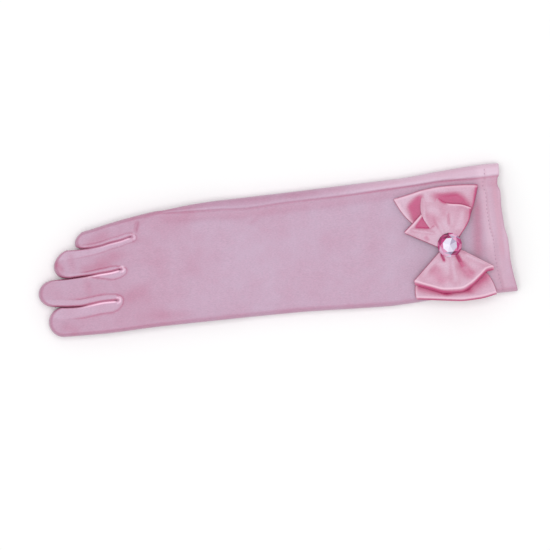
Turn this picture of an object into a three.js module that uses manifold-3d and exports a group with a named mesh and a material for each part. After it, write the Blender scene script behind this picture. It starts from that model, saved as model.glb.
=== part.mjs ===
// A long satin dress glove for the right hand, lying on its palm with the back of the hand up. The sleeve
// is one flattened tube that runs into four fingers, gusset strips stand between the fingers, the thumb is
// folded flat under the palm, and a ribbon bow with a faceted stone sits near the cuff.
// Millimetres. +X runs to the cuff, +Y to the little finger and +Z up. The shapes are worked out from the
// end of the slit between the middle and ring fingers, and the finished glove then stands with the middle
// of its box on the origin.

import * as THREE from 'three';
import { mergeVertices } from 'three/addons/utils/BufferGeometryUtils.js';
import { ConvexGeometry } from 'three/addons/geometries/ConvexGeometry.js';
import Module from 'manifold-3d';

const wasm = await Module();
wasm.setup();

// Cloth
const cloth = 1.0;
const seam_gap = 0.3;

// Sleeve and hand
const sleeve_length = 226;
const cuff_width_outer = 37.3;
const cuff_width_inner = 39.2;
const sleeve_height = 10.0;
const hand_height = 7.8;
const side_fold = 5.0;
const crown_drop = 0.9;
const hem_length = 8.0;
const hem_raise = 0.35;
const cuff_skew_length = 30;
const seam_raise = 0.5;
const seam_half_width = 1.0;

// Fingers: how far each tip stands beyond the slit between the middle and ring fingers, and its widths
const index_reach = 46.2;
const middle_reach = 49.9;
const ring_reach = 39.4;
const little_reach = 25.6;
const index_width = 18.0;
const middle_width = 17.6;
const ring_width = 16.8;
const little_width = 12.0;
const finger_root_height = 7.0;
const finger_tip_height = 9.4;
const finger_root_depth = 10;
const slit_width = 0.6;
const slit_hole_radius = 0.9;
const index_slit_set = -4.2;
const little_slit_set = 8.4;
const knuckle_valley = 1.5;
const knuckle_valley_length = 16;

// Thumb
const thumb_length = 54;
const thumb_width = 18;
const thumb_height = 2.6;
const thumb_turn = 14;
const thumb_base_set = 62;
const thumb_side_set = 21;
const thumb_hole_length = 16;
const thumb_hole_width = 11;

// Bow
const bow_set = 193.1;
const bow_side_set = -7.7;
const bow_half_width = 25;
const bow_reach = 34;
const ribbon = 1.0;
const loop_fold_height = 2.8;
const loop_puff = 1.2;
const pleat_height = 0.9;
const pleats_per_turn = 11;
const knot_radius = 4.6;

// Stone
const stone_radius = 7.2;
const stone_height = 4.0;
const stone_table_radius = 4.4;
const stone_sides = 8;

// Sections of the sleeve and hand. along is the share of the sleeve's length from the cuff to the slits.
// outer and inner say how far the little finger's and the index finger's edge have drawn in from the cuff's
// width to the knuckles' width. lift and rise are the shares of the hand's lift over the thumb and of the
// change from the sleeve's height to the hand's.
const SLEEVE_SECTIONS = [
  { along: 0.00, outer: 0.00, inner: 0.00, lift: 0.0, rise: 0.0 },
  { along: 0.07, outer: 0.00, inner: 0.00, lift: 0.0, rise: 0.0 },
  { along: 0.15, outer: 0.12, inner: 0.02, lift: 0.0, rise: 0.0 },
  { along: 0.27, outer: 0.33, inner: 0.02, lift: 0.0, rise: 0.0 },
  { along: 0.38, outer: 0.37, inner: 0.08, lift: 0.0, rise: 0.0 },
  { along: 0.55, outer: 0.43, inner: 0.62, lift: 0.0, rise: 0.0 },
  { along: 0.62, outer: 0.44, inner: 0.80, lift: 0.1, rise: 0.1 },
  { along: 0.72, outer: 0.47, inner: 0.95, lift: 0.9, rise: 0.7 },
  { along: 0.78, outer: 0.54, inner: 1.00, lift: 1.0, rise: 1.0 },
  { along: 0.86, outer: 0.64, inner: 1.00, lift: 1.0, rise: 1.0 },
  { along: 0.94, outer: 0.87, inner: 1.00, lift: 1.0, rise: 1.0 },
  { along: 1.00, outer: 1.00, inner: 1.00, lift: 1.0, rise: 1.0 },
];

// The side seam on the top, as a share of the half width out from the middle.
const SEAM_LINE = [
  { along: 0.00, out: 0.79 },
  { along: 0.15, out: 0.828 },
  { along: 0.30, out: 0.835 },
  { along: 0.55, out: 0.822 },
  { along: 0.68, out: 0.81 },
  { along: 0.76, out: 0.86 },
  { along: 0.86, out: 0.915 },
  { along: 1.00, out: 0.94 },
];

// The cuff's edge: how far it stands out (in shares of the hem's length) across the half width.
const CUFF_EDGE = [
  { across: -1.00, out: 0.48 },
  { across: -0.50, out: 0.14 },
  { across: 0.00, out: -0.02 },
  { across: 0.60, out: -0.04 },
  { across: 0.72, out: -0.20 },
  { across: 1.00, out: 0.06 },
];

// Soft folds that stand up on the top. near and far are their ends: along as above, across as a share of
// the half width. height is a share of the cloth's thickness, and width a share of the hem's length.
const FOLDS = [
  { near: [0.052, 0.40], far: [0.064, -0.24], height: 1.0, width: 0.30 },
  { near: [0.022, 0.70], far: [0.018, -0.30], height: 0.5, width: 0.30 },
  { near: [0.950, 0.93], far: [0.957, 0.72], height: 0.6, width: 0.25 },
];

// Fingers from the index to the little one. tip_width is a share of the width at the root, and lean how
// far the tip stands nearer the index finger, as a share of the finger's width.
const FINGERS = [
  { name: 'index', reach: index_reach, width: index_width, tip_width: 0.985, lean: 0.0 },
  { name: 'middle', reach: middle_reach, width: middle_width, tip_width: 0.885, lean: 0.062 },
  { name: 'ring', reach: ring_reach, width: ring_width, tip_width: 0.93, lean: 0.165 },
  { name: 'little', reach: little_reach, width: little_width, tip_width: 0.88, lean: 0.34 },
];

// Slits between neighbouring fingers. set is where each ends, towards the cuff. The gusset strip round a
// slit reaches past its end by past, and stands out on each finger by low (towards the index finger) and
// high, at its root and at its end. These are shares of the narrower neighbour's width.
const SLITS = [
  { name: 'index_middle', set: index_slit_set, past: 0.17, low: [0.31, 0.41], high: [0.21, 0.23] },
  { name: 'middle_ring', set: 0, past: 0.20, low: [0.24, 0.16], high: [0.21, 0.19] },
  { name: 'ring_little', set: little_slit_set, past: 0.20, low: [0.25, 0.52], high: [0.25, 0.19] },
];

// Outer edges of the ribbon loops, from the fingers' side to the cuff's side. across is a share of the
// bow's half width and out a share of its reach. The root's ends are in shares of the knot's radius.
const BOW_LOOPS = [
  {
    name: 'bow_under_loop_outer',
    heading: 90,
    level: 0,
    root: [-1.2, 1.35],
    edge: [[-1.17, 0.88], [-0.78, 0.935], [-0.51, 0.98], [-0.06, 1.01], [0.40, 0.99], [0.81, 0.96]],
  },
  {
    name: 'bow_top_loop_outer',
    heading: 90,
    level: 1,
    root: [-0.55, 1.35],
    edge: [[-0.50, 0.89], [-0.34, 0.88], [-0.14, 0.80], [0.08, 0.70], [0.36, 0.66], [0.61, 0.59]],
  },
  {
    name: 'bow_under_loop_inner',
    heading: -90,
    level: 0,
    root: [-1.2, 1.35],
    edge: [[-0.91, 0.83], [-0.59, 0.89], [-0.17, 0.95], [0.23, 0.985], [0.58, 0.98], [0.94, 0.93]],
  },
  {
    name: 'bow_top_loop_inner',
    heading: -90,
    level: 1,
    root: [-1.2, 1.35],
    edge: [[-0.92, 0.55], [-0.56, 0.66], [-0.21, 0.75], [0.14, 0.76], [0.39, 0.69], [0.64, 0.56],
      [0.83, 0.45], [0.97, 0.45]],
  },
  {
    name: 'bow_side_loop',
    heading: 144,
    level: 1,
    root: [-0.85, 0.2],
    edge: [[-0.27, 0.76], [-0.10, 0.75], [0.10, 0.71], [0.27, 0.69]],
  },
];

const satin = { color: 0xcfa3bf, roughness: 0.45, metalness: 0.0 };
const gusset_satin = { color: 0xd69bbb, roughness: 0.4, metalness: 0.0 };
const ribbon_satin = { color: 0xdc98b6, roughness: 0.35, metalness: 0.0 };
const stone_glass = { color: 0xd2488c, roughness: 0.08, metalness: 0.1 };

const radians = THREE.MathUtils.degToRad;
const clamp = THREE.MathUtils.clamp;

// Smooth value at a place, from rows of [place, value] in rising order of place. It is level where the
// values turn or stay the same, so it never swings past them.
function smoothThrough(rows, at) {
  const last = rows.length - 1;
  const slope = rows.map((row, i) => {
    const before = rows[Math.max(i - 1, 0)];
    const after = rows[Math.min(i + 1, last)];
    const turns = i > 0 && i < last && (row[1] - before[1]) * (after[1] - row[1]) <= 0;
    return turns ? 0 : (after[1] - before[1]) / (after[0] - before[0]);
  });
  let i = 0;
  while (i < last - 1 && at > rows[i + 1][0]) {
    i += 1;
  }
  const span = rows[i + 1][0] - rows[i][0];
  const t = clamp((at - rows[i][0]) / span, 0, 1);
  const from = rows[i][1] * (1 + 2 * t) * (1 - t) ** 2 + slope[i] * span * t * (1 - t) ** 2;
  const to = rows[i + 1][1] * (3 - 2 * t) * t ** 2 - slope[i + 1] * span * (1 - t) * t ** 2;
  return from + to;
}

function column(rows, place, value, at) {
  return smoothThrough(rows.map((row) => [row[place], row[value]]), at);
}

function geometryOf(points, faces) {
  const geometry = new THREE.BufferGeometry();
  geometry.setAttribute('position', new THREE.Float32BufferAttribute(points.flat(), 3));
  geometry.setIndex(faces);
  return geometry;
}

// Six times the volume that a closed mesh's triangles hold, negative where they face inwards.
function signedVolume(geometry) {
  const place = geometry.attributes.position;
  const corners = [0, 1, 2].map(() => new THREE.Vector3());
  let sum = 0;
  for (let i = 0; i < geometry.index.count; i += 3) {
    corners.forEach((corner, k) => corner.fromBufferAttribute(place, geometry.index.getX(i + k)));
    sum += corners[0].dot(corners[1].cross(corners[2]));
  }
  return sum;
}

// A closed mesh with merged vertices, whose triangles all face outwards.
function closed(geometry) {
  geometry.deleteAttribute('normal');
  geometry.deleteAttribute('uv');
  const merged = mergeVertices(geometry, 1e-4);
  if (signedVolume(merged) < 0) {
    const index = Array.from(merged.index.array);
    for (let i = 0; i < index.length; i += 3) {
      [index[i], index[i + 1]] = [index[i + 1], index[i]];
    }
    merged.setIndex(index);
  }
  return merged;
}

function solid(geometry) {
  const mesh = closed(geometry);
  return new wasm.Manifold(new wasm.Mesh({
    numProp: 3,
    vertProperties: new Float32Array(mesh.attributes.position.array),
    triVerts: new Uint32Array(mesh.index.array),
  }));
}

function geometryFrom(body) {
  const mesh = body.getMesh();
  const geometry = new THREE.BufferGeometry();
  geometry.setAttribute('position', new THREE.BufferAttribute(mesh.vertProperties, 3));
  geometry.setIndex(Array.from(mesh.triVerts));
  return geometry;
}

function joined(bodies) {
  return bodies.reduce((whole, body) => whole.add(body));
}

// The piece itself, without the loose slivers that a cut along nearly level faces can leave.
function mainBody(body) {
  return body.decompose().reduce((best, part) => (part.volume() > best.volume() ? part : best));
}

// A closed skin over rings of equally many points, with a fan over each end.
function loft(rings) {
  const count = rings[0].length;
  const points = rings.flat();
  const faces = [];
  for (let i = 0; i + 1 < rings.length; i += 1) {
    for (let k = 0; k < count; k += 1) {
      const a = i * count + k;
      const b = i * count + ((k + 1) % count);
      faces.push(a, b, b + count, a, b + count, a + count);
    }
  }
  [0, rings.length - 1].forEach((end) => {
    const middle = points.length;
    points.push([0, 1, 2].map((axis) => rings[end].reduce((sum, p) => sum + p[axis], 0) / count));
    for (let k = 0; k < count; k += 1) {
      const a = end * count + k;
      const b = end * count + ((k + 1) % count);
      faces.push(...(end === 0 ? [middle, b, a] : [middle, a, b]));
    }
  });
  return geometryOf(points, faces);
}

// A sheet with a thickness: two like grids of points, one on each face, closed round the rim.
function thickSheet(front, back) {
  const rows = front.length;
  const columns = front[0].length;
  const points = [...front.flat(), ...back.flat()];
  const at = (face, i, k) => face * rows * columns + i * columns + k;
  const faces = [];
  const quad = (a, b, c, d) => faces.push(a, b, c, a, c, d);
  for (let i = 0; i + 1 < rows; i += 1) {
    for (let k = 0; k + 1 < columns; k += 1) {
      quad(at(0, i, k), at(0, i + 1, k), at(0, i + 1, k + 1), at(0, i, k + 1));
      quad(at(1, i, k), at(1, i, k + 1), at(1, i + 1, k + 1), at(1, i + 1, k));
    }
  }
  for (let i = 0; i + 1 < rows; i += 1) {
    quad(at(0, i, 0), at(1, i, 0), at(1, i + 1, 0), at(0, i + 1, 0));
    quad(at(0, i + 1, columns - 1), at(1, i + 1, columns - 1), at(1, i, columns - 1), at(0, i, columns - 1));
  }
  for (let k = 0; k + 1 < columns; k += 1) {
    quad(at(0, 0, k + 1), at(1, 0, k + 1), at(1, 0, k), at(0, 0, k));
    quad(at(0, rows - 1, k), at(1, rows - 1, k), at(1, rows - 1, k + 1), at(0, rows - 1, k + 1));
  }
  return geometryOf(points, faces);
}

// An upright prism over a closed outline of [x, y] points.
function prism(outline, bottom, top) {
  const shape = new THREE.Shape(outline.map(([x, y]) => new THREE.Vector2(x, y)));
  const geometry = new THREE.ExtrudeGeometry(shape, { depth: top - bottom, bevelEnabled: false });
  return geometry.translate(0, 0, bottom);
}

// Where the fingers and slits stand across the knuckles, counted out from the slit between the middle and
// ring fingers.
const middle_centre = -slit_width / 2 - middle_width / 2;
const index_slit = -slit_width - middle_width;
const index_centre = index_slit - slit_width / 2 - index_width / 2;
const ring_centre = slit_width / 2 + ring_width / 2;
const little_slit = slit_width + ring_width;
const little_centre = little_slit + slit_width / 2 + little_width / 2;
const finger_centres = [index_centre, middle_centre, ring_centre, little_centre];
const slit_places = [index_slit, 0, little_slit];
const knuckle_inner_edge = index_centre - index_width / 2;
const knuckle_outer_edge = little_centre + little_width / 2;
const hand_lift = thumb_height + seam_gap;

// The line on which the hand ends, from the index finger's edge to the little finger's.
const knuckle_line = [
  [knuckle_inner_edge, index_slit_set - 3 * cloth],
  [index_slit, index_slit_set - cloth],
  [0, -cloth],
  [little_slit, little_slit_set - cloth],
  [knuckle_outer_edge, little_slit_set + 3 * cloth],
];

function sleeveEdges(along) {
  const drawn_out = column(SLEEVE_SECTIONS, 'along', 'outer', along);
  const drawn_in = column(SLEEVE_SECTIONS, 'along', 'inner', along);
  const outer = THREE.MathUtils.lerp(cuff_width_outer, knuckle_outer_edge, drawn_out);
  const inner = THREE.MathUtils.lerp(-cuff_width_inner, knuckle_inner_edge, drawn_in);
  return { middle: (outer + inner) / 2, half: (outer - inner) / 2 };
}

// How high a soft fold stands at a place on the top.
function foldHeight(along, across) {
  const { half } = sleeveEdges(along);
  return FOLDS.reduce((sum, fold) => {
    const start = new THREE.Vector2(fold.near[0] * sleeve_length, fold.near[1] * half);
    const run = new THREE.Vector2(fold.far[0] * sleeve_length, fold.far[1] * half).sub(start);
    const place = new THREE.Vector2(along * sleeve_length, across * half).sub(start);
    const t = clamp(place.dot(run) / run.lengthSq(), 0, 1);
    const away = place.distanceTo(run.clone().multiplyScalar(t)) / (fold.width * hem_length);
    return sum + fold.height * cloth * Math.exp(-(away ** 2));
  }, 0);
}

// Quarter-round fall of the cloth from the flat middle of a section to its side fold.
function sideRound(across, half, round) {
  const flat = 1 - round / half;
  const q = clamp((Math.abs(across) - flat) / (1 - flat), 0, 1);
  return Math.sqrt(1 - q * q);
}

// A point on the sleeve's and hand's skin. across runs from -1 to 1, and inset is 0 on the outer face.
function sleevePoint(along, across, side, inset) {
  const { middle, half } = sleeveEdges(along);
  const lift = hand_lift * column(SLEEVE_SECTIONS, 'along', 'lift', along);
  const rise = column(SLEEVE_SECTIONS, 'along', 'rise', along);
  const height = THREE.MathUtils.lerp(sleeve_height, hand_height, rise);
  const y = middle + across * (half - inset);
  const from_cuff = along * sleeve_length;
  const cuff_share = Math.max(0, 1 - from_cuff / cuff_skew_length) ** 2;
  const knuckle_share = clamp((along - 0.8) / 0.2, 0, 1) ** 2;
  const cuff_out = column(CUFF_EDGE, 'across', 'out', across) * hem_length;
  const end_set = smoothThrough(knuckle_line, clamp(y, knuckle_inner_edge, knuckle_outer_edge)) + inset;
  const x = sleeve_length - from_cuff + cuff_share * cuff_out + knuckle_share * end_set;
  const round = sideRound(across, half, side_fold);
  const side_height = lift + height * 0.45;
  if (side < 0) {
    return [x, y, side_height - (side_height - lift - inset) * round];
  }
  const valley_share = Math.max(0, 1 - (x - end_set) / knuckle_valley_length) ** 2;
  const valley = slit_places.reduce((sum, place) => {
    const away = (y - place) / (slit_width * 6);
    return sum + knuckle_valley * Math.exp(-(away ** 2));
  }, 0) * valley_share;
  let top = lift + height - inset - crown_drop * across ** 2 - valley;
  if (inset === 0) {
    const seam = column(SEAM_LINE, 'along', 'out', along);
    const seam_away = Math.abs(across - seam) * half / seam_half_width;
    top += foldHeight(along, across) + seam_raise * clamp(1 - seam_away, 0, 1);
    top += from_cuff < hem_length ? hem_raise : 0;
  }
  return [x, y, side_height + (top - side_height) * round];
}

// Places across a section: at the side folds, over each finger's middle and slit, and at the seam.
function sectionColumns(along) {
  const { half } = sleeveEdges(along);
  const hand = (knuckle_outer_edge - knuckle_inner_edge) / 2;
  const hand_middle = (knuckle_outer_edge + knuckle_inner_edge) / 2;
  const over_hand = [index_centre, index_slit, middle_centre, 0, ring_centre, little_slit];
  const seam = column(SEAM_LINE, 'along', 'out', along);
  const seam_side = seam_half_width / half;
  const past_seam = [0.35, 0.7, 0.92].map((share) => THREE.MathUtils.lerp(seam + seam_side, 1, share));
  return [
    -1, -0.99, -0.96, -0.92, -0.87,
    ...over_hand.map((y) => (y - hand_middle) / hand),
    seam - seam_side, seam, seam + seam_side, ...past_seam, 1,
  ];
}

function sleeveRing(along, inset, shift = 0) {
  const columns = sectionColumns(along);
  const under = [0.99, 0.95, 0.88, 0.5, 0, -0.5, -0.88, -0.95, -0.99];
  const top = columns.map((across) => sleevePoint(along, across, 1, inset));
  const bottom = under.map((across) => sleevePoint(along, across, -1, inset));
  return [...top, ...bottom].map(([x, y, z]) => [x + shift, y, z]);
}

const near_cuff = [0, 0.013, 0.0345, 0.0365, 0.046, 0.053, 0.060, 0.068, 0.078, 0.1];
const plain_sleeve = [0.17, 0.24, 0.33, 0.42, 0.52, 0.6, 0.66, 0.72, 0.79, 0.86];
const near_knuckles = [0.91, 0.945, 0.96, 0.98, 1];
const outer_sections = [...near_cuff, ...plain_sleeve, ...near_knuckles];
const hollow_sections = [0.12, ...plain_sleeve, 0.91, 0.95, 0.975, 1];
const hem_end = hem_length / sleeve_length;

const sleeve_body = solid(loft(outer_sections.map((along) => sleeveRing(along, 0))));
const hem_inset = cloth + 2 * hem_raise;
const sleeve_hollow = solid(loft([
  sleeveRing(0, hem_inset, hem_length),
  sleeveRing(0, hem_inset),
  sleeveRing(hem_end, hem_inset),
  sleeveRing(hem_end * 1.03, cloth),
  ...hollow_sections.map((along) => sleeveRing(along, cloth)),
]));

// One finger as a loft from inside the hand to its round tip.
function fingerBody(finger, number, inset) {
  const centre = finger_centres[number];
  const last_slit = slit_places.length - 1;
  const root_slits = [SLITS[Math.max(number - 1, 0)].set, SLITS[Math.min(number, last_slit)].set];
  const root = Math.max(...root_slits) + finger_root_depth;
  const tip = -finger.reach + inset;
  const tip_half = (finger.width * finger.tip_width) / 2;
  const round_start = tip + tip_half - inset;
  const straight = [0, 0.35, 0.7, 1].map((t) => [THREE.MathUtils.lerp(root, round_start, t), 1]);
  const round = [30, 54, 74].map((angle) => [
    THREE.MathUtils.lerp(round_start, tip, Math.sin(radians(angle))),
    Math.cos(radians(angle)),
  ]);
  const sides = 16;
  const rings = [...straight, ...round].map(([x, share]) => {
    const t = (root - x) / (root - tip);
    const y_centre = centre - finger.lean * finger.width * clamp((finger_root_depth - x) / finger.reach, 0, 1);
    const half_width = THREE.MathUtils.lerp(finger.width / 2 + slit_width / 2, tip_half, t) - inset;
    const bottom = hand_lift * (1 - t) ** 1.3;
    const top = THREE.MathUtils.lerp(hand_lift + finger_root_height, finger_tip_height, t);
    const half_height = (top - bottom) / 2 - inset;
    const middle = (top + bottom) / 2;
    return Array.from({ length: sides }, (_, k) => {
      const angle = (2 * Math.PI * k) / sides;
      const across = Math.sign(Math.cos(angle)) * Math.abs(Math.cos(angle)) ** 0.75;
      const up = Math.sign(Math.sin(angle)) * Math.abs(Math.sin(angle)) ** 0.7;
      return [x, y_centre + across * half_width * share, middle + up * half_height * share ** 0.6];
    });
  });
  return solid(loft(rings));
}

// The ends of a slit: the hole at its root, and the point between the two fingertips.
function slitEnds(number) {
  const lower = FINGERS[number];
  const upper = FINGERS[number + 1];
  const shorter = Math.min(lower.reach, upper.reach);
  const lower_edge = finger_centres[number] - lower.lean * lower.width + (lower.width * lower.tip_width) / 2;
  const upper_edge = finger_centres[number + 1] - upper.lean * upper.width
    - (upper.width * upper.tip_width) / 2;
  return {
    root: new THREE.Vector2(SLITS[number].set, slit_places[number]),
    tip: new THREE.Vector2(-shorter, (lower_edge + upper_edge) / 2),
    shorter,
  };
}

// A keyhole outline along a slit: straight sides and a round end at its root.
function keyhole(number, half_width, radius) {
  const { root, tip } = slitEnds(number);
  const run = root.clone().sub(tip).normalize();
  const side = new THREE.Vector2(-run.y, run.x);
  const at = (base, forward, across) => {
    const point = base.clone().addScaledVector(run, forward).addScaledVector(side, across);
    return [point.x, point.y];
  };
  const opening = Math.asin(half_width / radius);
  const steps = 9;
  const arc = Array.from({ length: steps + 1 }, (_, k) => {
    const angle = THREE.MathUtils.lerp(Math.PI - opening, -Math.PI + opening, k / steps);
    return at(root, radius * Math.cos(angle), radius * Math.sin(angle));
  });
  return [at(tip, -cloth, half_width), ...arc, at(tip, -cloth, -half_width)];
}

// The hairpin outline of the gusset strip round a slit.
function gussetOutline(number, grow) {
  const { root, tip } = slitEnds(number);
  const slit = SLITS[number];
  const width = Math.min(FINGERS[number].width, FINGERS[number + 1].width);
  const run = root.clone().sub(tip).normalize();
  const side = new THREE.Vector2(-run.y, run.x);
  const length = root.distanceTo(tip) - width * 0.55;
  const at = (forward, across) => {
    const point = root.clone().addScaledVector(run, forward).addScaledVector(side, across);
    return [point.x, point.y];
  };
  const past = slit.past * width + grow;
  const high = slit.high.map((share) => share * width + grow);
  const low = slit.low.map((share) => share * width + grow);
  const turn = [90, 60, 35, 12, -12, -35, -60, -90].map((angle) => {
    const half = angle > 0 ? high[0] : low[0];
    return at(past * Math.cos(radians(angle)), half * Math.sin(radians(angle)));
  });
  return [
    at(-length - grow, high[1]),
    at(-length * 0.5, (high[0] + high[1]) / 2),
    ...turn,
    at(-length * 0.5, (low[0] + low[1]) / -2),
    at(-length - grow, -low[1]),
  ];
}

const over_all = sleeve_height + hand_lift + 10;
const numbers = [0, 1, 2];

const fingers = FINGERS.map((finger, number) => fingerBody(finger, number, 0));
const finger_hollows = FINGERS.map((finger, number) => fingerBody(finger, number, cloth));
const slits = numbers.map((n) => solid(prism(keyhole(n, slit_width / 2, slit_hole_radius), -10, over_all)));
const slit_walls = numbers.map((n) => {
  return solid(prism(keyhole(n, slit_width / 2 + cloth, slit_hole_radius + cloth), -10, over_all));
});

const glove_body = joined([sleeve_body, ...fingers]).subtract(joined(slits));
const glove_hollow = joined([sleeve_hollow, ...finger_hollows]).subtract(joined(slit_walls));
const glove_cloth = glove_body.subtract(glove_hollow);

// The thumb lies flat under the palm, and an oval hole in its top face meets one in the palm.
const thumb_base = new THREE.Vector2(thumb_base_set, middle_centre / 2 - thumb_side_set);
const thumb_run = new THREE.Vector2(-Math.cos(radians(thumb_turn)), Math.sin(radians(thumb_turn)));
const thumb_side = new THREE.Vector2(thumb_run.y, -thumb_run.x);

function thumbPlace(forward, across) {
  return thumb_base.clone().addScaledVector(thumb_run, forward).addScaledVector(thumb_side, across);
}

function thumbBody(inset) {
  const half_width = thumb_width / 2 - inset;
  const half_height = thumb_height / 2 - inset;
  const ends = [78, 52, 26].map((angle) => {
    return [half_width * (1 - Math.sin(radians(angle))) + inset, Math.cos(radians(angle))];
  });
  const far_ends = ends.map(([forward, share]) => [thumb_length - forward, share]).reverse();
  const straight = [half_width + inset, thumb_length / 2, thumb_length - half_width - inset];
  const sections = [...ends, ...straight.map((forward) => [forward, 1]), ...far_ends];
  const sides = 12;
  const rings = sections.map(([forward, share]) => Array.from({ length: sides }, (_, k) => {
    const angle = (2 * Math.PI * k) / sides;
    const across = Math.sign(Math.cos(angle)) * Math.abs(Math.cos(angle)) ** 0.5;
    const up = Math.sign(Math.sin(angle)) * Math.abs(Math.sin(angle)) ** 0.5;
    const place = thumbPlace(forward, across * half_width * share);
    return [place.x, place.y, thumb_height / 2 + up * half_height];
  }));
  return solid(loft(rings));
}

const hole_steps = 16;
const thumb_hole = Array.from({ length: hole_steps }, (_, k) => {
  const angle = (2 * Math.PI * k) / hole_steps;
  const forward = thumb_width * 0.62 + (thumb_hole_length / 2) * Math.cos(angle);
  const place = thumbPlace(forward, (thumb_hole_width / 2) * Math.sin(angle));
  return [place.x, place.y];
});
const thumb_opening = solid(prism(thumb_hole, thumb_height / 2, hand_lift + hand_height / 2));

const gusset_cutters = numbers.map((n) => solid(prism(gussetOutline(n, 0), -10, over_all)));
const gusset_spaces = numbers.map((n) => solid(prism(gussetOutline(n, seam_gap), -10, over_all)));
const glove_shell = mainBody(glove_cloth.subtract(joined(gusset_spaces)).subtract(thumb_opening));
const gussets = gusset_cutters.map((cutter) => mainBody(glove_cloth.intersect(cutter)));
const thumb = thumbBody(0).subtract(thumbBody(cloth)).subtract(thumb_opening);

// Heights in the bow, above the sleeve's top, at a distance out from the knot and a place across it. The
// pleats run out from the knot, and each layer lies on the one below.
const bow_floor = sleeve_height + seam_gap;

function pleat(out, across) {
  const turn = Math.atan2(across, out);
  const fade = THREE.MathUtils.smoothstep(out, knot_radius, knot_radius * 2.2) * (1 - 0.7 * out / bow_reach);
  return pleat_height * (0.5 + 0.5 * Math.cos(pleats_per_turn * turn)) * fade;
}

function layerTop(level, out, across) {
  const puff = loop_puff * THREE.MathUtils.smoothstep(out, knot_radius, bow_reach * 0.6);
  const layer = 2 * ribbon + seam_gap + puff;
  return bow_floor + pleat(out, across) + (level + 1) * layer + level * seam_gap;
}

function layerBottom(level, out, across) {
  return level === 0 ? bow_floor : layerTop(level - 1, out, across) + seam_gap;
}

// A ribbon loop: out from the knot on top, round the fold at its outer edge and back underneath.
function ribbonLoop(loop) {
  const edge_across = loop.edge.map(([across, out], i) => [i, across * bow_half_width]);
  const edge_out = loop.edge.map(([across, out], i) => [i, out * bow_reach]);
  const last = loop.edge.length - 1;
  const columns = last + 3;
  const root_out = knot_radius + seam_gap;
  const heading = radians(loop.heading);
  const along = new THREE.Vector2(Math.cos(heading), Math.sin(heading));
  const mirror = loop.heading < 0 ? -1 : 1;
  const over = new THREE.Vector2(mirror * along.y, -mirror * along.x);
  const place = (out, across, z) => [
    bow_set + along.x * out + over.x * across,
    bow_side_set + along.y * out + over.y * across,
    z,
  ];
  const front = [];
  const back = [];
  for (let k = 0; k < columns; k += 1) {
    const t = (k / (columns - 1)) * last;
    const root_across = THREE.MathUtils.lerp(loop.root[0], loop.root[1], t / last) * knot_radius;
    const end_across = smoothThrough(edge_across, t);
    const end_out = smoothThrough(edge_out, t);
    const point = (share, shift, face) => {
      const out = THREE.MathUtils.lerp(root_out, end_out, share) + shift;
      const across = THREE.MathUtils.lerp(root_across, end_across, share ** 0.8);
      return place(out, across, face(out, across));
    };
    const top = (out, across) => layerTop(loop.level, out, across);
    const bottom = (out, across) => layerBottom(loop.level, out, across);
    const lines = [[], []];
    const before_fold = 1 - loop_fold_height / 2 / (end_out - root_out);
    const shares = [0, 0.14, 0.32, 0.52, 0.74, 1].map((share) => share * before_fold);
    shares.forEach((share) => {
      lines[0].push(point(share, 0, top));
      lines[1].push(point(share, 0, (out, across) => top(out, across) - ribbon));
    });
    [60, 20, -20, -60].forEach((angle) => {
      [0, ribbon].forEach((inset, face) => {
        lines[face].push(point(before_fold, (loop_fold_height / 2 - inset) * Math.cos(radians(angle)),
          (out, across) => {
            const high = top(out, across) - inset;
            const low = bottom(out, across) + inset;
            return THREE.MathUtils.lerp(low, high, 0.5 + 0.5 * Math.sin(radians(angle)));
          }));
      });
    });
    [...shares].reverse().forEach((share) => {
      lines[0].push(point(share, 0, bottom));
      lines[1].push(point(share, 0, (out, across) => bottom(out, across) + ribbon));
    });
    front.push(lines[0]);
    back.push(lines[1]);
  }
  return closed(thickSheet(front, back));
}

// The knot stands from the sleeve to the stone, with softly rounded edges.
const stone_floor = layerTop(1, knot_radius * 1.7, 0) + seam_gap;

function knotGeometry() {
  const height = stone_floor - seam_gap - bow_floor;
  const soft = ribbon / 2;
  const profile = [
    [0, 0], [knot_radius - soft, 0], [knot_radius, soft],
    [knot_radius, height - soft], [knot_radius - soft, height], [0, height],
  ];
  const geometry = new THREE.LatheGeometry(profile.map(([x, y]) => new THREE.Vector2(x, y)), 16);
  return closed(geometry.rotateX(Math.PI / 2).translate(bow_set, bow_side_set, bow_floor));
}

// The stone: a flat back, a girdle, two rows of crown facets and a table.
function stoneGeometry() {
  const tiers = [
    { radius: stone_radius * 0.93, height: 0, sides: 2 * stone_sides, turn: 0 },
    { radius: stone_radius, height: stone_height * 0.2, sides: 2 * stone_sides, turn: 0 },
    { radius: stone_radius * 0.98, height: stone_height * 0.34, sides: 2 * stone_sides, turn: 0 },
    { radius: (stone_radius + stone_table_radius) / 2, height: stone_height * 0.76, sides: stone_sides, turn: 0 },
    { radius: stone_table_radius, height: stone_height, sides: stone_sides, turn: 0.5 },
  ];
  const points = tiers.flatMap((tier) => Array.from({ length: tier.sides }, (_, k) => {
    const angle = (2 * Math.PI * (k + tier.turn)) / tier.sides;
    return new THREE.Vector3(
      bow_set + tier.radius * Math.cos(angle),
      bow_side_set + tier.radius * Math.sin(angle),
      stone_floor + tier.height,
    );
  }));
  return closed(new ConvexGeometry(points));
}

const glove = new THREE.Group();

function addPiece(name, geometry, finish) {
  const mesh = new THREE.Mesh(geometry, new THREE.MeshStandardMaterial(finish));
  mesh.name = name;
  glove.add(mesh);
}

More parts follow.
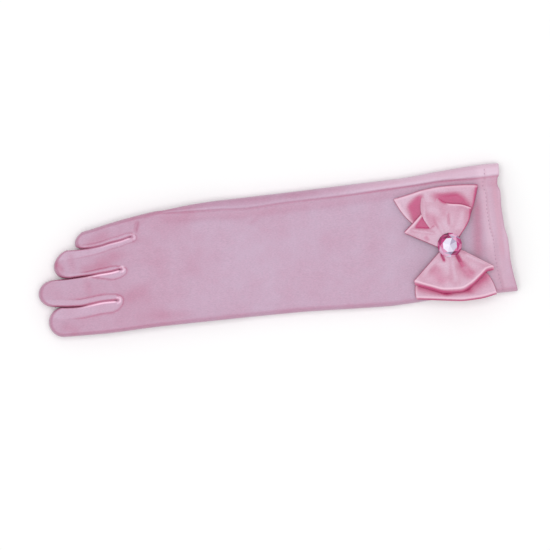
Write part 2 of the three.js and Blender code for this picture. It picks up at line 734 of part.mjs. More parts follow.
addPiece('glove_shell', geometryFrom(glove_shell), satin);
SLITS.forEach((slit, n) => addPiece(`fourchette_${slit.name}`, geometryFrom(gussets[n]), gusset_satin));
addPiece('thumb', geometryFrom(thumb), satin);
BOW_LOOPS.forEach((loop) => addPiece(loop.name, ribbonLoop(loop), ribbon_satin));
addPiece('bow_knot', knotGeometry(), ribbon_satin);
addPiece('stone', stoneGeometry(), stone_glass);

// The finished glove rests with the middle of its box over the origin.
const box = new THREE.Box3().setFromObject(glove);
glove.position.set(-(box.min.x + box.max.x) / 2, -(box.min.y + box.max.y) / 2, -box.min.z);

export default glove;
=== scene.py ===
"""A long satin dress glove for a child's right hand, lying on its palm, with a ribbon bow by the cuff."""

import math
from bisect import bisect_right

import bmesh
import bpy
from mathutils import Matrix, Vector, noise


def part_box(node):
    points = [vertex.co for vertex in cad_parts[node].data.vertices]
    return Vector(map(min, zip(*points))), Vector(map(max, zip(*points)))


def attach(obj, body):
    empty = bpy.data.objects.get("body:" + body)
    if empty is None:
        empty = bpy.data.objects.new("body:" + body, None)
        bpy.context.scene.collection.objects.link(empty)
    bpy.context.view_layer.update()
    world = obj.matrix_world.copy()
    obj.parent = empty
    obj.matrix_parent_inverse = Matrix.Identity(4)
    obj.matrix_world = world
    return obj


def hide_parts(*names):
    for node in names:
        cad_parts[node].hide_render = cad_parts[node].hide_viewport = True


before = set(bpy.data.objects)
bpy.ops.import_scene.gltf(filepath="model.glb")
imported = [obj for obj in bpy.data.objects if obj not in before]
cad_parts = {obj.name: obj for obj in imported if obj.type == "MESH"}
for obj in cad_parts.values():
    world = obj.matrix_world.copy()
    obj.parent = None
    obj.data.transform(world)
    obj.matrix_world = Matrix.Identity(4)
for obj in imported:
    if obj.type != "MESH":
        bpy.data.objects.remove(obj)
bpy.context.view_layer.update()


# The glove: one piece of pink stretch satin, folded along the index finger's side, sewn along the little
# finger's side and slit into four fingers. It is laid out here as a flat pattern of rows and columns, slit
# open between the fingers, doubled for the palm's side, and then puffed out to a soft flattened tube.
MM = 0.001
CLOTH = 0.5
SLIT_GAP = 0.004
SLIT_HOLE = 0.15
HOLE_LENGTH = 0.9
SEAM_GAP = 0.01
FINGER_COLUMNS = 26
SLEEVE_ROWS = 140
ROOT_ROWS = 26
FINGER_ROWS = 34
TIP_ROWS = 12
CUFF_X = 138.0
KNUCKLE_X = -76.0
ROOT_X = -96.0
CUFF_SKEW = 30.0
SIDE_ROUND = 3.0
TIP_ROUND = 2.3
SLIT_ROUND_LOW = 0.7
SLIT_ROUND_HIGH = 1.0
ROUND_POWER = 2.4
MIDDLE_SHARE = 0.47
SLIT_SHARE = 0.93
HEM = 8.0
HEM_RAISE = 0.3
SIDE_SEAM_END = -70.0
SIDE_SEAM_FADE = 12.0
SEAM_REACH = 2.4
SEAM_GATHER = 0.75


def line_through(*points):
    """A smooth line y(x) through a few points (x, y), in rising x, that never swings past them."""
    places = [point[0] for point in points]
    values = [point[1] for point in points]
    rises = [
        (values[i + 1] - values[i]) / (places[i + 1] - places[i]) for i in range(len(points) - 1)
    ]
    slopes = [rises[0]]
    for before, after in zip(rises, rises[1:]):
        slopes.append(0 if before * after <= 0 else 2 * before * after / (before + after))
    slopes.append(rises[-1])

    def at(x):
        i = min(max(bisect_right(places, x) - 1, 0), len(rises) - 1)
        width = places[i + 1] - places[i]
        t = min(max((x - places[i]) / width, 0), 1)
        start = values[i] * (1 + 2 * t) * (1 - t) ** 2 + slopes[i] * width * t * (1 - t) ** 2
        end = values[i + 1] * (3 - 2 * t) * t ** 2 - slopes[i + 1] * width * (1 - t) * t ** 2
        return start + end

    return at


def smooth(t):
    t = min(max(t, 0), 1)
    return t * t * (3 - 2 * t)


def lerp(a, b, t):
    return a + (b - a) * t


def bump(away, width):
    """A soft round bump: 1 at its middle, falling away over its half width."""
    return math.exp(-((away / width) ** 2))


# The long lines of the pattern, (x, y) from the fingertips to the cuff: the index finger's edge, the three
# slits and the lines that they run on in, and the little finger's edge.
LINES = [
    line_through((-131, -33.9), (-101, -34.7), (-71, -34.2), (-30, -34.5), (10, -35.1), (50, -37.0),
                 (67, -37.6), (94, -36.8), (112, -37.0), (140, -37.2)),
    line_through((-131, -15.9), (-124, -16.8), (-117, -17.2), (-110, -16.5), (-102, -15.8), (-94, -16.0),
                 (-60, -16.4), (0, -17.2), (140, -18.2)),
    line_through((-131, 0.1), (-122, -0.1), (-115, 0.1), (-109, 0.3), (-103, 0.8), (-97, 1.1),
                 (-90, 1.9), (-60, 1.8), (0, 0.5), (140, 0.8)),
    line_through((-121, 16.6), (-114, 16.3), (-107, 16.4), (-101, 16.9), (-95, 18.0), (-89, 18.8),
                 (-82, 20.2), (-60, 19.6), (0, 18.2), (140, 19.9)),
    line_through((-112, 26.2), (-105, 27.4), (-93.5, 29.7), (-75.7, 32.5), (-57.7, 34.4), (-31, 35.6),
                 (12, 35.8), (50, 36.2), (76, 36.4), (103, 38.1), (120, 39.0), (129, 39.2), (137, 39.0)),
]
CUFF_EDGE = line_through((-37.3, 139.7), (-26, 138.0), (-17, 137.2), (-7, 137.2), (2, 135.8), (14, 135.4),
                         (22, 135.8), (26.7, 134.6), (33, 136.2), (39, 136.8))
SIDE_SEAM = line_through((-72, 33.4), (-67.9, 33.0), (-55, 31.3), (-29, 30.0), (-13, 28.8), (11, 29.6),
                         (38, 29.7), (69, 30.6), (90, 31.2), (102, 31.8), (123, 31.2), (136, 31.3))

# Heights of the back and of the palm's side along the glove.
BACK = line_through((-141, 9.3), (-120, 9.7), (-96, 10.2), (-76, 10.6), (-40, 10.4), (-10, 10.0),
                    (110, 10.0), (140, 9.8))
PALM = line_through((-141, 0.5), (-120, 1.5), (-96, 2.9), (-30, 2.9), (-14, 0), (140, 0))

# Each finger's rounded tip: where it starts, how long it is, and how far it leans to the index finger.
FINGERTIPS = [
    {"start": -127.5, "length": 8.9, "lean": 0.0},
    {"start": -131.2, "length": 9.4, "lean": 0.0},
    {"start": -120.6, "length": 9.1, "lean": 0.18},
    {"start": -110.2, "length": 5.4, "lean": 0.40},
]

# Each slit's inner end, and the hairpin seam of its gusset strip: from where on it is round, how long its
# round end is, how far it stands out on the index finger's side (low) and on the other (high) there and at
# the fingertips, where it can no longer be told from the cloth, and the cloth that the strip is cut from.
SLITS = [
    {"gusset": "fourchette_index_middle", "end": -94.3, "round": -99.8, "past": 8.6, "low": (7.0, 6.8),
     "high": (4.0, 4.5), "far": -127.0, "light": 1.0, "flat": (0.020, 0.072)},
    {"gusset": "fourchette_middle_ring", "end": -90.2, "round": -96.4, "past": 9.3, "low": (4.8, -2.2),
     "high": (3.2, 2.3), "far": -120.0, "light": 1.0, "flat": (0.018, 0.060)},
    {"gusset": "fourchette_ring_little", "end": -81.8, "round": -85.0, "past": 5.7, "low": (3.2, 5.3),
     "high": (3.0, 2.0), "far": -122.0, "light": 0.55, "flat": (0.016, 0.056)},
]
NARROWEST = 0.7
SEAM_FADE = 12.0
LIGHT_ASIDE = 0.75
LIGHT_WIDTH = 0.5
LIGHT_LENGTH = 28.0
LIGHT_RING = 1.5
LIGHT_ON_RING = 0.6

# Soft folds on the back: a line from (x, y) to (x, y), its half width, how long its ends fade, its height,
# and how much painted shade (pink) lies in it. Some also carry painted sheen, paler than the rest of the
# cloth.
FOLDS = [
    {"line": (121.2, 13.0, 119.3, -9.0), "width": 2.8, "fade": 7.0, "height": 0.35, "pink": 0.7},
    {"line": (-12.0, 21.4, -9.4, 22.4), "width": 1.9, "fade": 2.0, "height": -0.40, "pink": 0.12},
    {"line": (133.2, 20.0, 133.4, -8.0), "width": 1.5, "fade": 9.0, "height": 0.25, "pink": 0.65,
     "painted_sheen": 0.15},
    {"line": (127.0, 22.0, 127.5, -4.0), "width": 2.4, "fade": 9.0, "height": 0.10, "pink": 0.15,
     "painted_sheen": 0.22},
    {"line": (136.2, 20.0, 136.6, -10.0), "width": 1.0, "fade": 8.0, "height": 0.10, "pink": 0.0,
     "painted_sheen": 0.20},
    {"line": (131.0, -20.0, 133.0, -32.0), "width": 3.0, "fade": 6.0, "height": 0.10, "pink": 0.10,
     "painted_sheen": 0.08},
    {"line": (-78.2, 27.6, -79.2, 24.0), "width": 0.7, "fade": 1.6, "height": -0.60, "pink": 0.30},
    {"line": (-71.0, 29.0, -76.0, 25.0), "width": 2.2, "fade": 3.0, "height": 0.35, "pink": 0.0},
    {"line": (-103.0, 8.0, -94.0, 10.0), "width": 3.0, "fade": 5.0, "height": -0.35, "pink": 0.30},
    {"line": (-111.0, 4.5, -100.0, 5.5), "width": 1.8, "fade": 4.0, "height": -0.30, "pink": 0.30},
    {"line": (-119.0, 6.0, -120.0, 12.0), "width": 2.0, "fade": 3.0, "height": -0.25, "pink": 0.20},
    {"line": (-128.0, 9.0, -125.5, 6.0), "width": 1.6, "fade": 2.0, "height": -0.20, "pink": 0.40},
    {"line": (-111.5, -4.5, -111.0, -9.0), "width": 2.2, "fade": 3.0, "height": -0.25, "pink": 0.22},
    {"line": (-106.0, 19.5, -100.0, 22.0), "width": 3.0, "fade": 4.0, "height": -0.25, "pink": 0.30},
    {"line": (-126.0, -28.0, -122.0, -31.0), "width": 3.0, "fade": 3.0, "height": -0.20, "pink": 0.25},
    {"line": (-86.0, -15.0, -80.0, -12.0), "width": 4.0, "fade": 5.0, "height": -0.20, "pink": 0.20},
    {"line": (-72.0, -28.0, -60.0, -29.0), "width": 3.0, "fade": 8.0, "height": -0.15, "pink": 0.25},
]


def fall(distance, radius):
    """The quarter-round fall of the cloth to an edge: 0 at the edge and 1 from a radius inwards."""
    near = min(max(distance / radius, 0), 1)
    return (1 - (1 - near) ** ROUND_POWER) ** (1 / ROUND_POWER)


def hairpin_half(slit, line_y, x, y):
    """Half the width of a gusset strip on the side of its slit where a place lies."""
    root, end = slit["high"] if y > line_y else slit["low"]
    out = min(max(slit["round"] - x, 0) / (slit["round"] - slit["far"]), 1)
    return max(lerp(root, end, out), NARROWEST)


def hairpin_away(number, x, y):
    """How far a place lies outside the seam of a gusset strip; it is negative inside."""
    slit = SLITS[number]
    line_y = LINES[number + 1](min(x, slit["round"]))
    half = hairpin_half(slit, line_y, x, y)
    if x <= slit["round"]:
        return abs(y - line_y) - half
    ratio = math.hypot((y - line_y) / half, (x - slit["round"]) / slit["past"])
    return math.hypot(y - line_y, x - slit["round"]) * (1 - 1 / max(ratio, 0.01))


def on_hairpin(number, x, y, away):
    """The nearest place to (x, y) that lies on the seam of a gusset strip, or that far outside it."""
    slit = SLITS[number]
    line_y = LINES[number + 1](min(x, slit["round"]))
    half = hairpin_half(slit, line_y, x, y)
    if x <= slit["round"]:
        return x, line_y + math.copysign(max(half + away, 0), y - line_y)
    ratio = math.hypot((y - line_y) / half, (x - slit["round"]) / slit["past"])
    share = 1 / ratio + away / math.hypot(y - line_y, x - slit["round"])
    return lerp(slit["round"], x, share), lerp(line_y, y, share)


def on_fold(fold, x, y):
    """How much of a fold is at a place: 1 on its line, fading away to both sides and past both ends."""
    x1, y1, x2, y2 = fold["line"]
    length = math.hypot(x2 - x1, y2 - y1)
    along = ((x - x1) * (x2 - x1) + (y - y1) * (y2 - y1)) / length
    aside = ((x - x1) * (y2 - y1) - (y - y1) * (x2 - x1)) / length
    past = max(-along, along - length, 0)
    return math.exp(-((aside / fold["width"]) ** 2) - (past / fold["fade"]) ** 2)


def slit_light(number, x, y):
    """How much of the light that a gusset strip's fold catches, just beside its slit, falls on a place."""
    slit = SLITS[number]
    out = slit["end"] - x
    aside = y - LINES[number + 1](min(x, slit["end"]))
    beside = bump(aside + LIGHT_ASIDE, LIGHT_WIDTH)
    fade = smooth((out - 0.6) / 1.6) * smooth((LIGHT_LENGTH - out) / (LIGHT_LENGTH - 8))
    ring = bump(math.hypot(aside, out) - LIGHT_RING, LIGHT_WIDTH) * smooth((1.2 - out) / 1.2)
    return slit["light"] * (beside * fade + LIGHT_ON_RING * ring)


# The cloth is a little uneven, in long waves and in short ones. The side seam pulls a sharp line into it,
# with a soft ridge on the outer side and a hollow on the inner side.
WAVES = [
    {"height": 0.30, "along": 42, "across": 27, "start": 0.5},
    {"height": 0.07, "along": 13, "across": 9, "start": 7.5},
]
SIDE_SEAM_FORMS = [
    {"aside": 0.0, "width": 0.38, "height": -0.32},
    {"aside": 1.7, "width": 1.5, "height": 0.28},
    {"aside": -3.2, "width": 2.6, "height": -0.35},
]

# How much painted shade (a deeper pink) lies in the seams, the slits' valleys and by the cuff, how much
# pinker the hand is, and how much painted sheen (paler) lies outside the side seam and over the cuff.
SEAM_PAINTED_SHADE = 0.30
SEAM_PAINTED_SHADE_BY_CUFF = 0.50
SEAM_WIDTH = 0.32
SEAM_SHADE_PINK = 0.25
OUTER_STRIP_PAINTED_SHEEN = 0.38
HAND_PINK = 0.20
CUFF_PAINTED_SHADE = 0.25
CUFF_PAINTED_SHEEN = 0.13
STITCH_DIP = 0.22
GUSSET_SEAM_WIDTH = 0.42
GUSSET_SEAM_DIP = 0.12
GUSSET_SEAM_PAINTED_SHADE = 0.48
GUSSET_RAISE = 0.10
LIGHT_RAISE = 0.25
LIGHT_PALE = 1.2
SLIT_PAINTED_SHADE = 0.4


def relief(x, y):
    """How far the back stands off its smooth form at a place, and how much painted shade and painted sheen
    lie there.
    """
    height = 0
    pink = 0
    painted_sheen = 0
    for wave in WAVES:
        height += wave["height"] * noise.noise((x / wave["along"], y / wave["across"], wave["start"]))
    # Each fold adds its height, its painted shade (pink) and its painted sheen (pale).
    for fold in FOLDS:
        near = on_fold(fold, x, y)
        height += fold["height"] * near
        pink += fold["pink"] * near
        painted_sheen += fold.get("painted_sheen", 0) * near
    seam_end = smooth((x - SIDE_SEAM_END) / SIDE_SEAM_FADE)
    beside = y - SIDE_SEAM(x)
    pull = sum(form["height"] * bump(beside - form["aside"], form["width"]) for form in SIDE_SEAM_FORMS)
    height += seam_end * pull
    from_cuff = CUFF_EDGE(y) - x
    toward_cuff = smooth((x - 10) / 80)
    # Painted shade in the side seam's groove and the hollow inside it, painted sheen outside it and on the
    # cuff, and painted shade by the cuff inside the seam.
    pink += seam_end * (SEAM_PAINTED_SHADE + SEAM_PAINTED_SHADE_BY_CUFF * toward_cuff) * bump(beside, SEAM_WIDTH)
    pink += seam_end * SEAM_SHADE_PINK * bump(beside + 2.6, 2.4)
    painted_sheen += seam_end * OUTER_STRIP_PAINTED_SHEEN * toward_cuff * smooth((beside - 0.4) / 1.2)
    painted_sheen += CUFF_PAINTED_SHEEN * smooth((x - 121) / 6)
    pink += CUFF_PAINTED_SHADE * smooth((x - 119) / 8) * smooth(-beside)
    height += HEM_RAISE * smooth((HEM - from_cuff) / 0.8)
    height -= STITCH_DIP * bump(from_cuff - HEM, 0.45)
    pink += HAND_PINK * smooth((-20 - x) / 60)
    if x < ROOT_X + 40:
        for number, slit in enumerate(SLITS):
            away = hairpin_away(number, x, y)
            shown = smooth((x - slit["far"]) / SEAM_FADE)
            # Painted shade along each gusset seam, a painted highlight beside each slit, and painted shade
            # in its valley.
            on_seam = shown * slit["light"] * bump(away, GUSSET_SEAM_WIDTH)
            height -= GUSSET_SEAM_DIP * on_seam
            pink += GUSSET_SEAM_PAINTED_SHADE * on_seam
            if away < 0:
                height += GUSSET_RAISE * min(-away, 1) * shown
            light = slit_light(number, x, y)
            height += LIGHT_RAISE * light
            painted_sheen += LIGHT_PALE * light
            valley = bump(y - LINES[number + 1](x) - 0.5, 0.7) * smooth(slit["end"] - x)
            pink += SLIT_PAINTED_SHADE * slit["light"] * valley
    return height, min(pink, 1), min(painted_sheen, 1)


# The back falls a little from its middle to both sides. Each finger is a shallow dome, a little lower than
# the hand, and before each slit the cloth sinks into a short valley.
BACK_FALL = 1.5
FINGER_DOME = 0.5
FINGER_DIP = 0.4
VALLEY_DIP = 0.6
VALLEY_LENGTH = 16.0
VALLEY_WIDTH = 3.2


def top_and_palm(x, y, edge):
    """The heights of the back and of the palm's side at a place; edge falls to 0 at the glove's edges."""
    back = BACK(x)
    palm = PALM(x)
    middle_share = MIDDLE_SHARE
    low = LINES[0](x)
    high = LINES[4](x)
    across = min(max((2 * y - low - high) / (high - low), -1), 1)
    crown = BACK_FALL * abs(across) ** 3.5 * smooth((x + 90) / 50)
    fingers = smooth((-70 - x) / 22)
    valley = 0
    for number, slit in enumerate(SLITS):
        aside = y - LINES[number + 1](x)
        closed = bump(aside, 2.0) * smooth((x - slit["far"] - 4) / 12)
        middle_share = max(middle_share, lerp(MIDDLE_SHARE, SLIT_SHARE, closed))
        before = (x - slit["end"]) / VALLEY_LENGTH
        if 0 < before < 1:
            valley += VALLEY_DIP * (1 - before) ** 2 * bump(aside, VALLEY_WIDTH)
    middle = palm + (back - palm) * middle_share
    height = relief(x, y)[0]
    dome = FINGER_DOME * fingers * edge ** 4
    top = middle + (back - FINGER_DIP * fingers + dome - crown - valley + height - middle) * edge
    return top, middle - (middle - palm) * edge


def slit_gap(number, x):
    """Half the width of a slit at a place along it: a hair's breadth, and a small hole at its inner end."""
    out = SLITS[number]["end"] - x
    return (SLIT_GAP + SLIT_HOLE * bump(out - HOLE_LENGTH, HOLE_LENGTH)) * smooth(out / HOLE_LENGTH)


def edge_of(x, y, strip):
    """How near a place is to the edges of its strip of the pattern: 0 on an edge, 1 well inside."""
    side = lerp(TIP_ROUND, SIDE_ROUND, smooth((x + 100) / 40))
    edge = 1
    if strip == 0:
        edge *= fall(y - LINES[0](x), side)
    if strip == 3:
        edge *= fall(LINES[4](x) - y, side)
    for number, slit_round in ((strip - 1, SLIT_ROUND_HIGH), (strip, SLIT_ROUND_LOW)):
        if 0 <= number < len(SLITS):
            end = SLITS[number]["end"]
            aside = abs(y - LINES[number + 1](min(x, end)))
            away = math.hypot(max(aside - slit_gap(number, x), 0), max(x - end, 0))
            edge *= fall(away, slit_round)
    return edge


def gather(value, seam):
    """Draws the lines of the pattern closer to a seam, so that the seam has the cloth that it needs."""
    away = value - seam
    return seam + away * (1 - SEAM_GATHER * bump(away, SEAM_REACH))


def plan(row, strip, across_share):
    """Where a place of the pattern lies, seen from above, and how near it is to an edge."""
    root_row = SLEEVE_ROWS + ROOT_ROWS
    tip = FINGERTIPS[strip]
    if row <= SLEEVE_ROWS:
        x = lerp(CUFF_X, KNUCKLE_X, row / SLEEVE_ROWS)
    elif row <= root_row:
        x = lerp(KNUCKLE_X, ROOT_X, (row - SLEEVE_ROWS) / ROOT_ROWS)
    else:
        x = lerp(ROOT_X, tip["start"], min((row - root_row) / FINGER_ROWS, 1))
    inner = smooth((-58 - x) / 20)
    rounding = (1 if strip == 0 else inner) if across_share < 0 else (1 if strip == 3 else inner)
    across = lerp(across_share, math.sin(across_share * math.pi / 2), rounding)
    low = LINES[strip](x)
    high = LINES[strip + 1](x)
    if strip > 0:
        low += slit_gap(strip - 1, x)
    if strip < 3:
        high -= slit_gap(strip, x)
    middle = (low + high) / 2
    half = (high - low) / 2
    y = middle + half * across
    beyond = (row - root_row - FINGER_ROWS) / TIP_ROWS
    if beyond <= 0:
        near_cuff = max(1 - (CUFF_X - x) / CUFF_SKEW, 0) ** 2
        x += (CUFF_EDGE(y) - CUFF_X) * near_cuff
        x = CUFF_EDGE(y) - gather(CUFF_EDGE(y) - x, HEM)
        y = lerp(y, gather(y, SIDE_SEAM(x)), smooth((x - SIDE_SEAM_END) / SIDE_SEAM_FADE))
        return x, y, edge_of(x, y, strip)
    forward = beyond * math.sqrt(1 - across ** 2 / 2)
    aside = across * math.sqrt(1 - beyond ** 2 / 2)
    out = min(math.hypot(forward, aside), 1)
    side_round = TIP_ROUND
    if aside > 0 and strip < 3:
        side_round = SLIT_ROUND_LOW
    elif aside < 0 and strip > 0:
        side_round = SLIT_ROUND_HIGH
    round_here = lerp(side_round, TIP_ROUND, forward / max(out, 0.01))
    x = tip["start"] - tip["length"] * forward + tip["lean"] * half * aside * beyond
    return x, middle + half * aside, fall((1 - out) * half, round_here)


columns = 4 * FINGER_COLUMNS
rows = SLEEVE_ROWS + ROOT_ROWS + FINGER_ROWS + TIP_ROWS
cloth = bmesh.new()
bmesh.ops.create_grid(cloth, x_segments=rows, y_segments=columns, size=0.5)
for vert in cloth.verts:
    vert.co = ((0.5 - vert.co.x) * rows, (vert.co.y + 0.5) * columns, 1)

cuts = []
root_step = (KNUCKLE_X - ROOT_X) / ROOT_ROWS
for number, slit in enumerate(SLITS):
    column = (number + 1) * FINGER_COLUMNS
    first = SLEEVE_ROWS + round((KNUCKLE_X - slit["end"]) / root_step)
    for edge in cloth.edges:
        a, b = (vert.co for vert in edge.verts)
        if abs(a.y - column) < 0.1 and abs(b.y - column) < 0.1 and min(a.x, b.x) > first - 0.1:
            cuts.append(edge)
bmesh.ops.split_edges(cloth, edges=cuts)
for vert in cloth.verts:
    column = round(vert.co.y)
    if vert.is_boundary and column % FINGER_COLUMNS == 0 and 0 < column < columns:
        beside = sum(face.calc_center_median().y for face in vert.link_faces) / len(vert.link_faces)
        if abs(beside - column) > 0.1 and len(vert.link_faces) <= 2:
            vert.co.y = column + math.copysign(0.01, beside - column)

doubled = bmesh.ops.duplicate(cloth, geom=cloth.faces[:] + cloth.edges[:] + cloth.verts[:])["geom"]
palm_faces = [item for item in doubled if isinstance(item, bmesh.types.BMFace)]
bmesh.ops.reverse_faces(cloth, faces=palm_faces)
palm_verts = set(item for item in doubled if isinstance(item, bmesh.types.BMVert))
for vert in cloth.verts:
    on_side = vert.co.y < 0.1 or vert.co.y > columns - 0.1
    if vert.is_boundary and (vert.co.x > 0.1 or on_side):
        vert.co.z = 0
    elif vert in palm_verts:
        vert.co.z = -1
bmesh.ops.remove_doubles(cloth, verts=cloth.verts, dist=0.001)

outline = cloth.verts.layers.int.new("outline")
for vert in cloth.verts:
    vert[outline] = int(vert.co.z == 0)
    row = round(vert.co.x)
    column = round(vert.co.y)
    side = vert.co.y - column
    strip = min(column // FINGER_COLUMNS, 3)
    if side < -0.001:
        strip = column // FINGER_COLUMNS - 1
    x, y, edge = plan(row, strip, 2 * (column - strip * FINGER_COLUMNS) / FINGER_COLUMNS - 1)
    back, palm = top_and_palm(x, y, edge)
    vert.co = (x, y, palm if vert.co.z < -0.5 else back)


def strip_at(x, y):
    return sum(1 for line in LINES[1:4] if y > line(x))


def cut_gusset(source, inside):
    """A copy of the cloth: the gusset strip of that number, or for None what the three strips leave."""
    piece = source.copy()
    numbers = range(len(SLITS)) if inside is None else [inside]
    dropped = []
    for face in piece.faces:
        x, y, _ = face.calc_center_median()
        is_in = x < ROOT_X + 30 and min(hairpin_away(number, x, y) for number in numbers) < 0
        if is_in == (inside is None):
            dropped.append(face)
    bmesh.ops.delete(piece, geom=dropped, context="FACES")
    clearance = SEAM_GAP if inside is None else -SEAM_GAP
    outline = piece.verts.layers.int["outline"]
    for vert in piece.verts:
        x, y, z = vert.co
        strip = strip_at(x, y)
        if not vert.is_boundary or vert[outline] or not FINGERTIPS[strip]["start"] < x < ROOT_X + 30:
            continue
        number = min(numbers, key=lambda n: abs(hairpin_away(n, x, y)))
        is_back = z > (BACK(x) + PALM(x)) / 2
        x, y = on_hairpin(number, x, y, clearance)
        back, palm = top_and_palm(x, y, edge_of(x, y, strip))
        vert.co = (x, y, back if is_back else palm)
    return piece


def note_finish(piece):
    """Notes on each vertex how much painted shade (pink) its folds and seams put there and how much painted
    sheen, for the satin.

    Both are the back's own, and fade out half way down the glove's sides."""
    fold = piece.verts.layers.float.new("fold")
    painted_sheen = piece.verts.layers.float.new("painted_sheen")
    for vert in piece.verts:
        x, y, z = vert.co
        on_back = smooth(2 * (z - PALM(x)) / (BACK(x) - PALM(x)) - 0.5)
        pink, painted_sheen_share = relief(x, y)[1:]
        vert[fold] = pink * on_back
        vert[painted_sheen] = painted_sheen_share * on_back


def finish_piece(piece, name, material, solid=0.0, levels=0, smooth_faces=True):
    """Turns a bmesh in millimetres into a piece of the glove, in metres, that rides with it."""
    for edge in piece.edges:
        edge.smooth = not edge.is_boundary
    bmesh.ops.scale(piece, vec=(MM, MM, MM), verts=piece.verts)
    mesh = bpy.data.meshes.new(name)
    piece.to_mesh(mesh)
    piece.free()
    mesh.polygons.foreach_set("use_smooth", [smooth_faces] * len(mesh.polygons))
    mesh.materials.append(material)
    made = bpy.data.objects.new(name, mesh)
    bpy.context.scene.collection.objects.link(made)
    if solid:
        wall = made.modifiers.new("wall", "SOLIDIFY")
        wall.thickness = solid * MM
        wall.offset = -1
        wall.use_even_offset = False
    if levels:
        fine = made.modifiers.new("fine", "SUBSURF")
        fine.levels = levels
        fine.render_levels = levels
    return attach(made, "root")


def add_node(tree, kind, x, y, **values):
    """A node at a place, with its options and the values of its sockets set by name or number."""
    node = tree.nodes.new(kind)
    node.location = (x, y)
    for name, value in values.items():
        if hasattr(node, name):
            setattr(node, name, value)
        else:
            node.inputs[name.replace("_", " ")].default_value = value
    return node


def satin_group():
    """Satin's woven surface and its threads, with painted shade (a deeper pink) in folds and where the cloth
    turns from level, and painted sheen.
    """
    group = bpy.data.node_groups.new("satin_weave", "ShaderNodeTree")
    group.interface.new_socket("Lit", in_out="INPUT", socket_type="NodeSocketColor")
    group.interface.new_socket("Painted_Shade", in_out="INPUT", socket_type="NodeSocketColor")
    group.interface.new_socket("Fold", in_out="INPUT", socket_type="NodeSocketFloat")
    group.interface.new_socket("Turn", in_out="INPUT", socket_type="NodeSocketFloat")
    group.interface.new_socket("Painted_Sheen", in_out="INPUT", socket_type="NodeSocketFloat")
    group.interface.new_socket("Painted_Sheen_Color", in_out="INPUT", socket_type="NodeSocketColor")
    group.interface.new_socket("Color", in_out="OUTPUT", socket_type="NodeSocketColor")
    group.interface.new_socket("Height", in_out="OUTPUT", socket_type="NodeSocketFloat")
    links = group.links
    given = add_node(group, "NodeGroupInput", -1000, 0)
    result = add_node(group, "NodeGroupOutput", 900, 0)
    place = add_node(group, "ShaderNodeTexCoord", -1000, -300)
    surface = add_node(group, "ShaderNodeNewGeometry", -1000, 300)
    # Painted shade: the farther a face turns from level, the more of the deeper pink, by the Turn share,
    # added to the fold mark.
    apart = add_node(group, "ShaderNodeSeparateXYZ", -800, 300)
    links.new(surface.outputs["Normal"], apart.inputs[0])
    level = add_node(group, "ShaderNodeMath", -600, 300, operation="ABSOLUTE")
    links.new(apart.outputs["Z"], level.inputs[0])
    turned = add_node(group, "ShaderNodeMath", -400, 300, operation="SUBTRACT")
    turned.inputs[0].default_value = 1.0
    links.new(level.outputs[0], turned.inputs[1])
    turned_share = add_node(group, "ShaderNodeMath", -200, 300, operation="MULTIPLY_ADD", use_clamp=True)
    links.new(turned.outputs[0], turned_share.inputs[0])
    links.new(given.outputs["Turn"], turned_share.inputs[1])
    links.new(given.outputs["Fold"], turned_share.inputs[2])
    cloudy = add_node(group, "ShaderNodeTexNoise", -600, 0, Scale=55.0, Detail=4.0, Roughness=0.6)
    links.new(place.outputs["Object"], cloudy.inputs["Vector"])
    cloudy_share = add_node(group, "ShaderNodeMapRange", -400, 0, From_Min=0.38, From_Max=0.72, To_Max=0.26)
    links.new(cloudy.outputs["Fac"], cloudy_share.inputs["Value"])
    pinker = add_node(group, "ShaderNodeMath", 0, 200, operation="ADD", use_clamp=True)
    links.new(turned_share.outputs[0], pinker.inputs[0])
    links.new(cloudy_share.outputs[0], pinker.inputs[1])
    stretched = add_node(group, "ShaderNodeMapping", -800, -300)
    stretched.inputs["Scale"].default_value = (0.35, 1.0, 1.0)
    links.new(place.outputs["Object"], stretched.inputs["Vector"])
    threads = add_node(group, "ShaderNodeTexNoise", -600, -300, Scale=2300.0, Detail=3.0, Roughness=0.7)
    links.new(stretched.outputs[0], threads.inputs["Vector"])
    thread_tone = add_node(group, "ShaderNodeMapRange", -400, -300, From_Min=0.25, From_Max=0.75,
                           To_Min=0.84, To_Max=1.12)
    links.new(threads.outputs["Fac"], thread_tone.inputs["Value"])
    # A fold mark past 1 darkens the colour further, down to 0.3: a painted shadow line.
    crease_shadow = add_node(group, "ShaderNodeMapRange", 0, -100, From_Min=1.0, From_Max=2.0,
                      To_Min=1.0, To_Max=0.3)
    links.new(given.outputs["Fold"], crease_shadow.inputs["Value"])
    tone = add_node(group, "ShaderNodeMath", 250, -200, operation="MULTIPLY")
    links.new(thread_tone.outputs[0], tone.inputs[0])
    links.new(crease_shadow.outputs[0], tone.inputs[1])
    blend = add_node(group, "ShaderNodeMix", 250, 100, data_type="RGBA")
    links.new(pinker.outputs[0], blend.inputs["Factor"])
    links.new(given.outputs["Lit"], blend.inputs[6])
    links.new(given.outputs["Painted_Shade"], blend.inputs[7])
    toned = add_node(group, "ShaderNodeVectorMath", 500, 100, operation="SCALE")
    links.new(blend.outputs[2], toned.inputs[0])
    links.new(tone.outputs[0], toned.inputs["Scale"])
    # The pale mark turns the colour toward the edge colour: painted highlights and sheen.
    edged = add_node(group, "ShaderNodeMix", 700, 100, data_type="RGBA")
    links.new(given.outputs["Painted_Sheen"], edged.inputs["Factor"])
    links.new(toned.outputs[0], edged.inputs[6])
    links.new(given.outputs["Painted_Sheen_Color"], edged.inputs[7])
    links.new(edged.outputs[2], result.inputs["Color"])
    links.new(threads.outputs["Fac"], result.inputs["Height"])
    return group


SATIN_WEAVE = satin_group()
SHEEN_TINT = (0.5, 0.93, 1.0, 1)


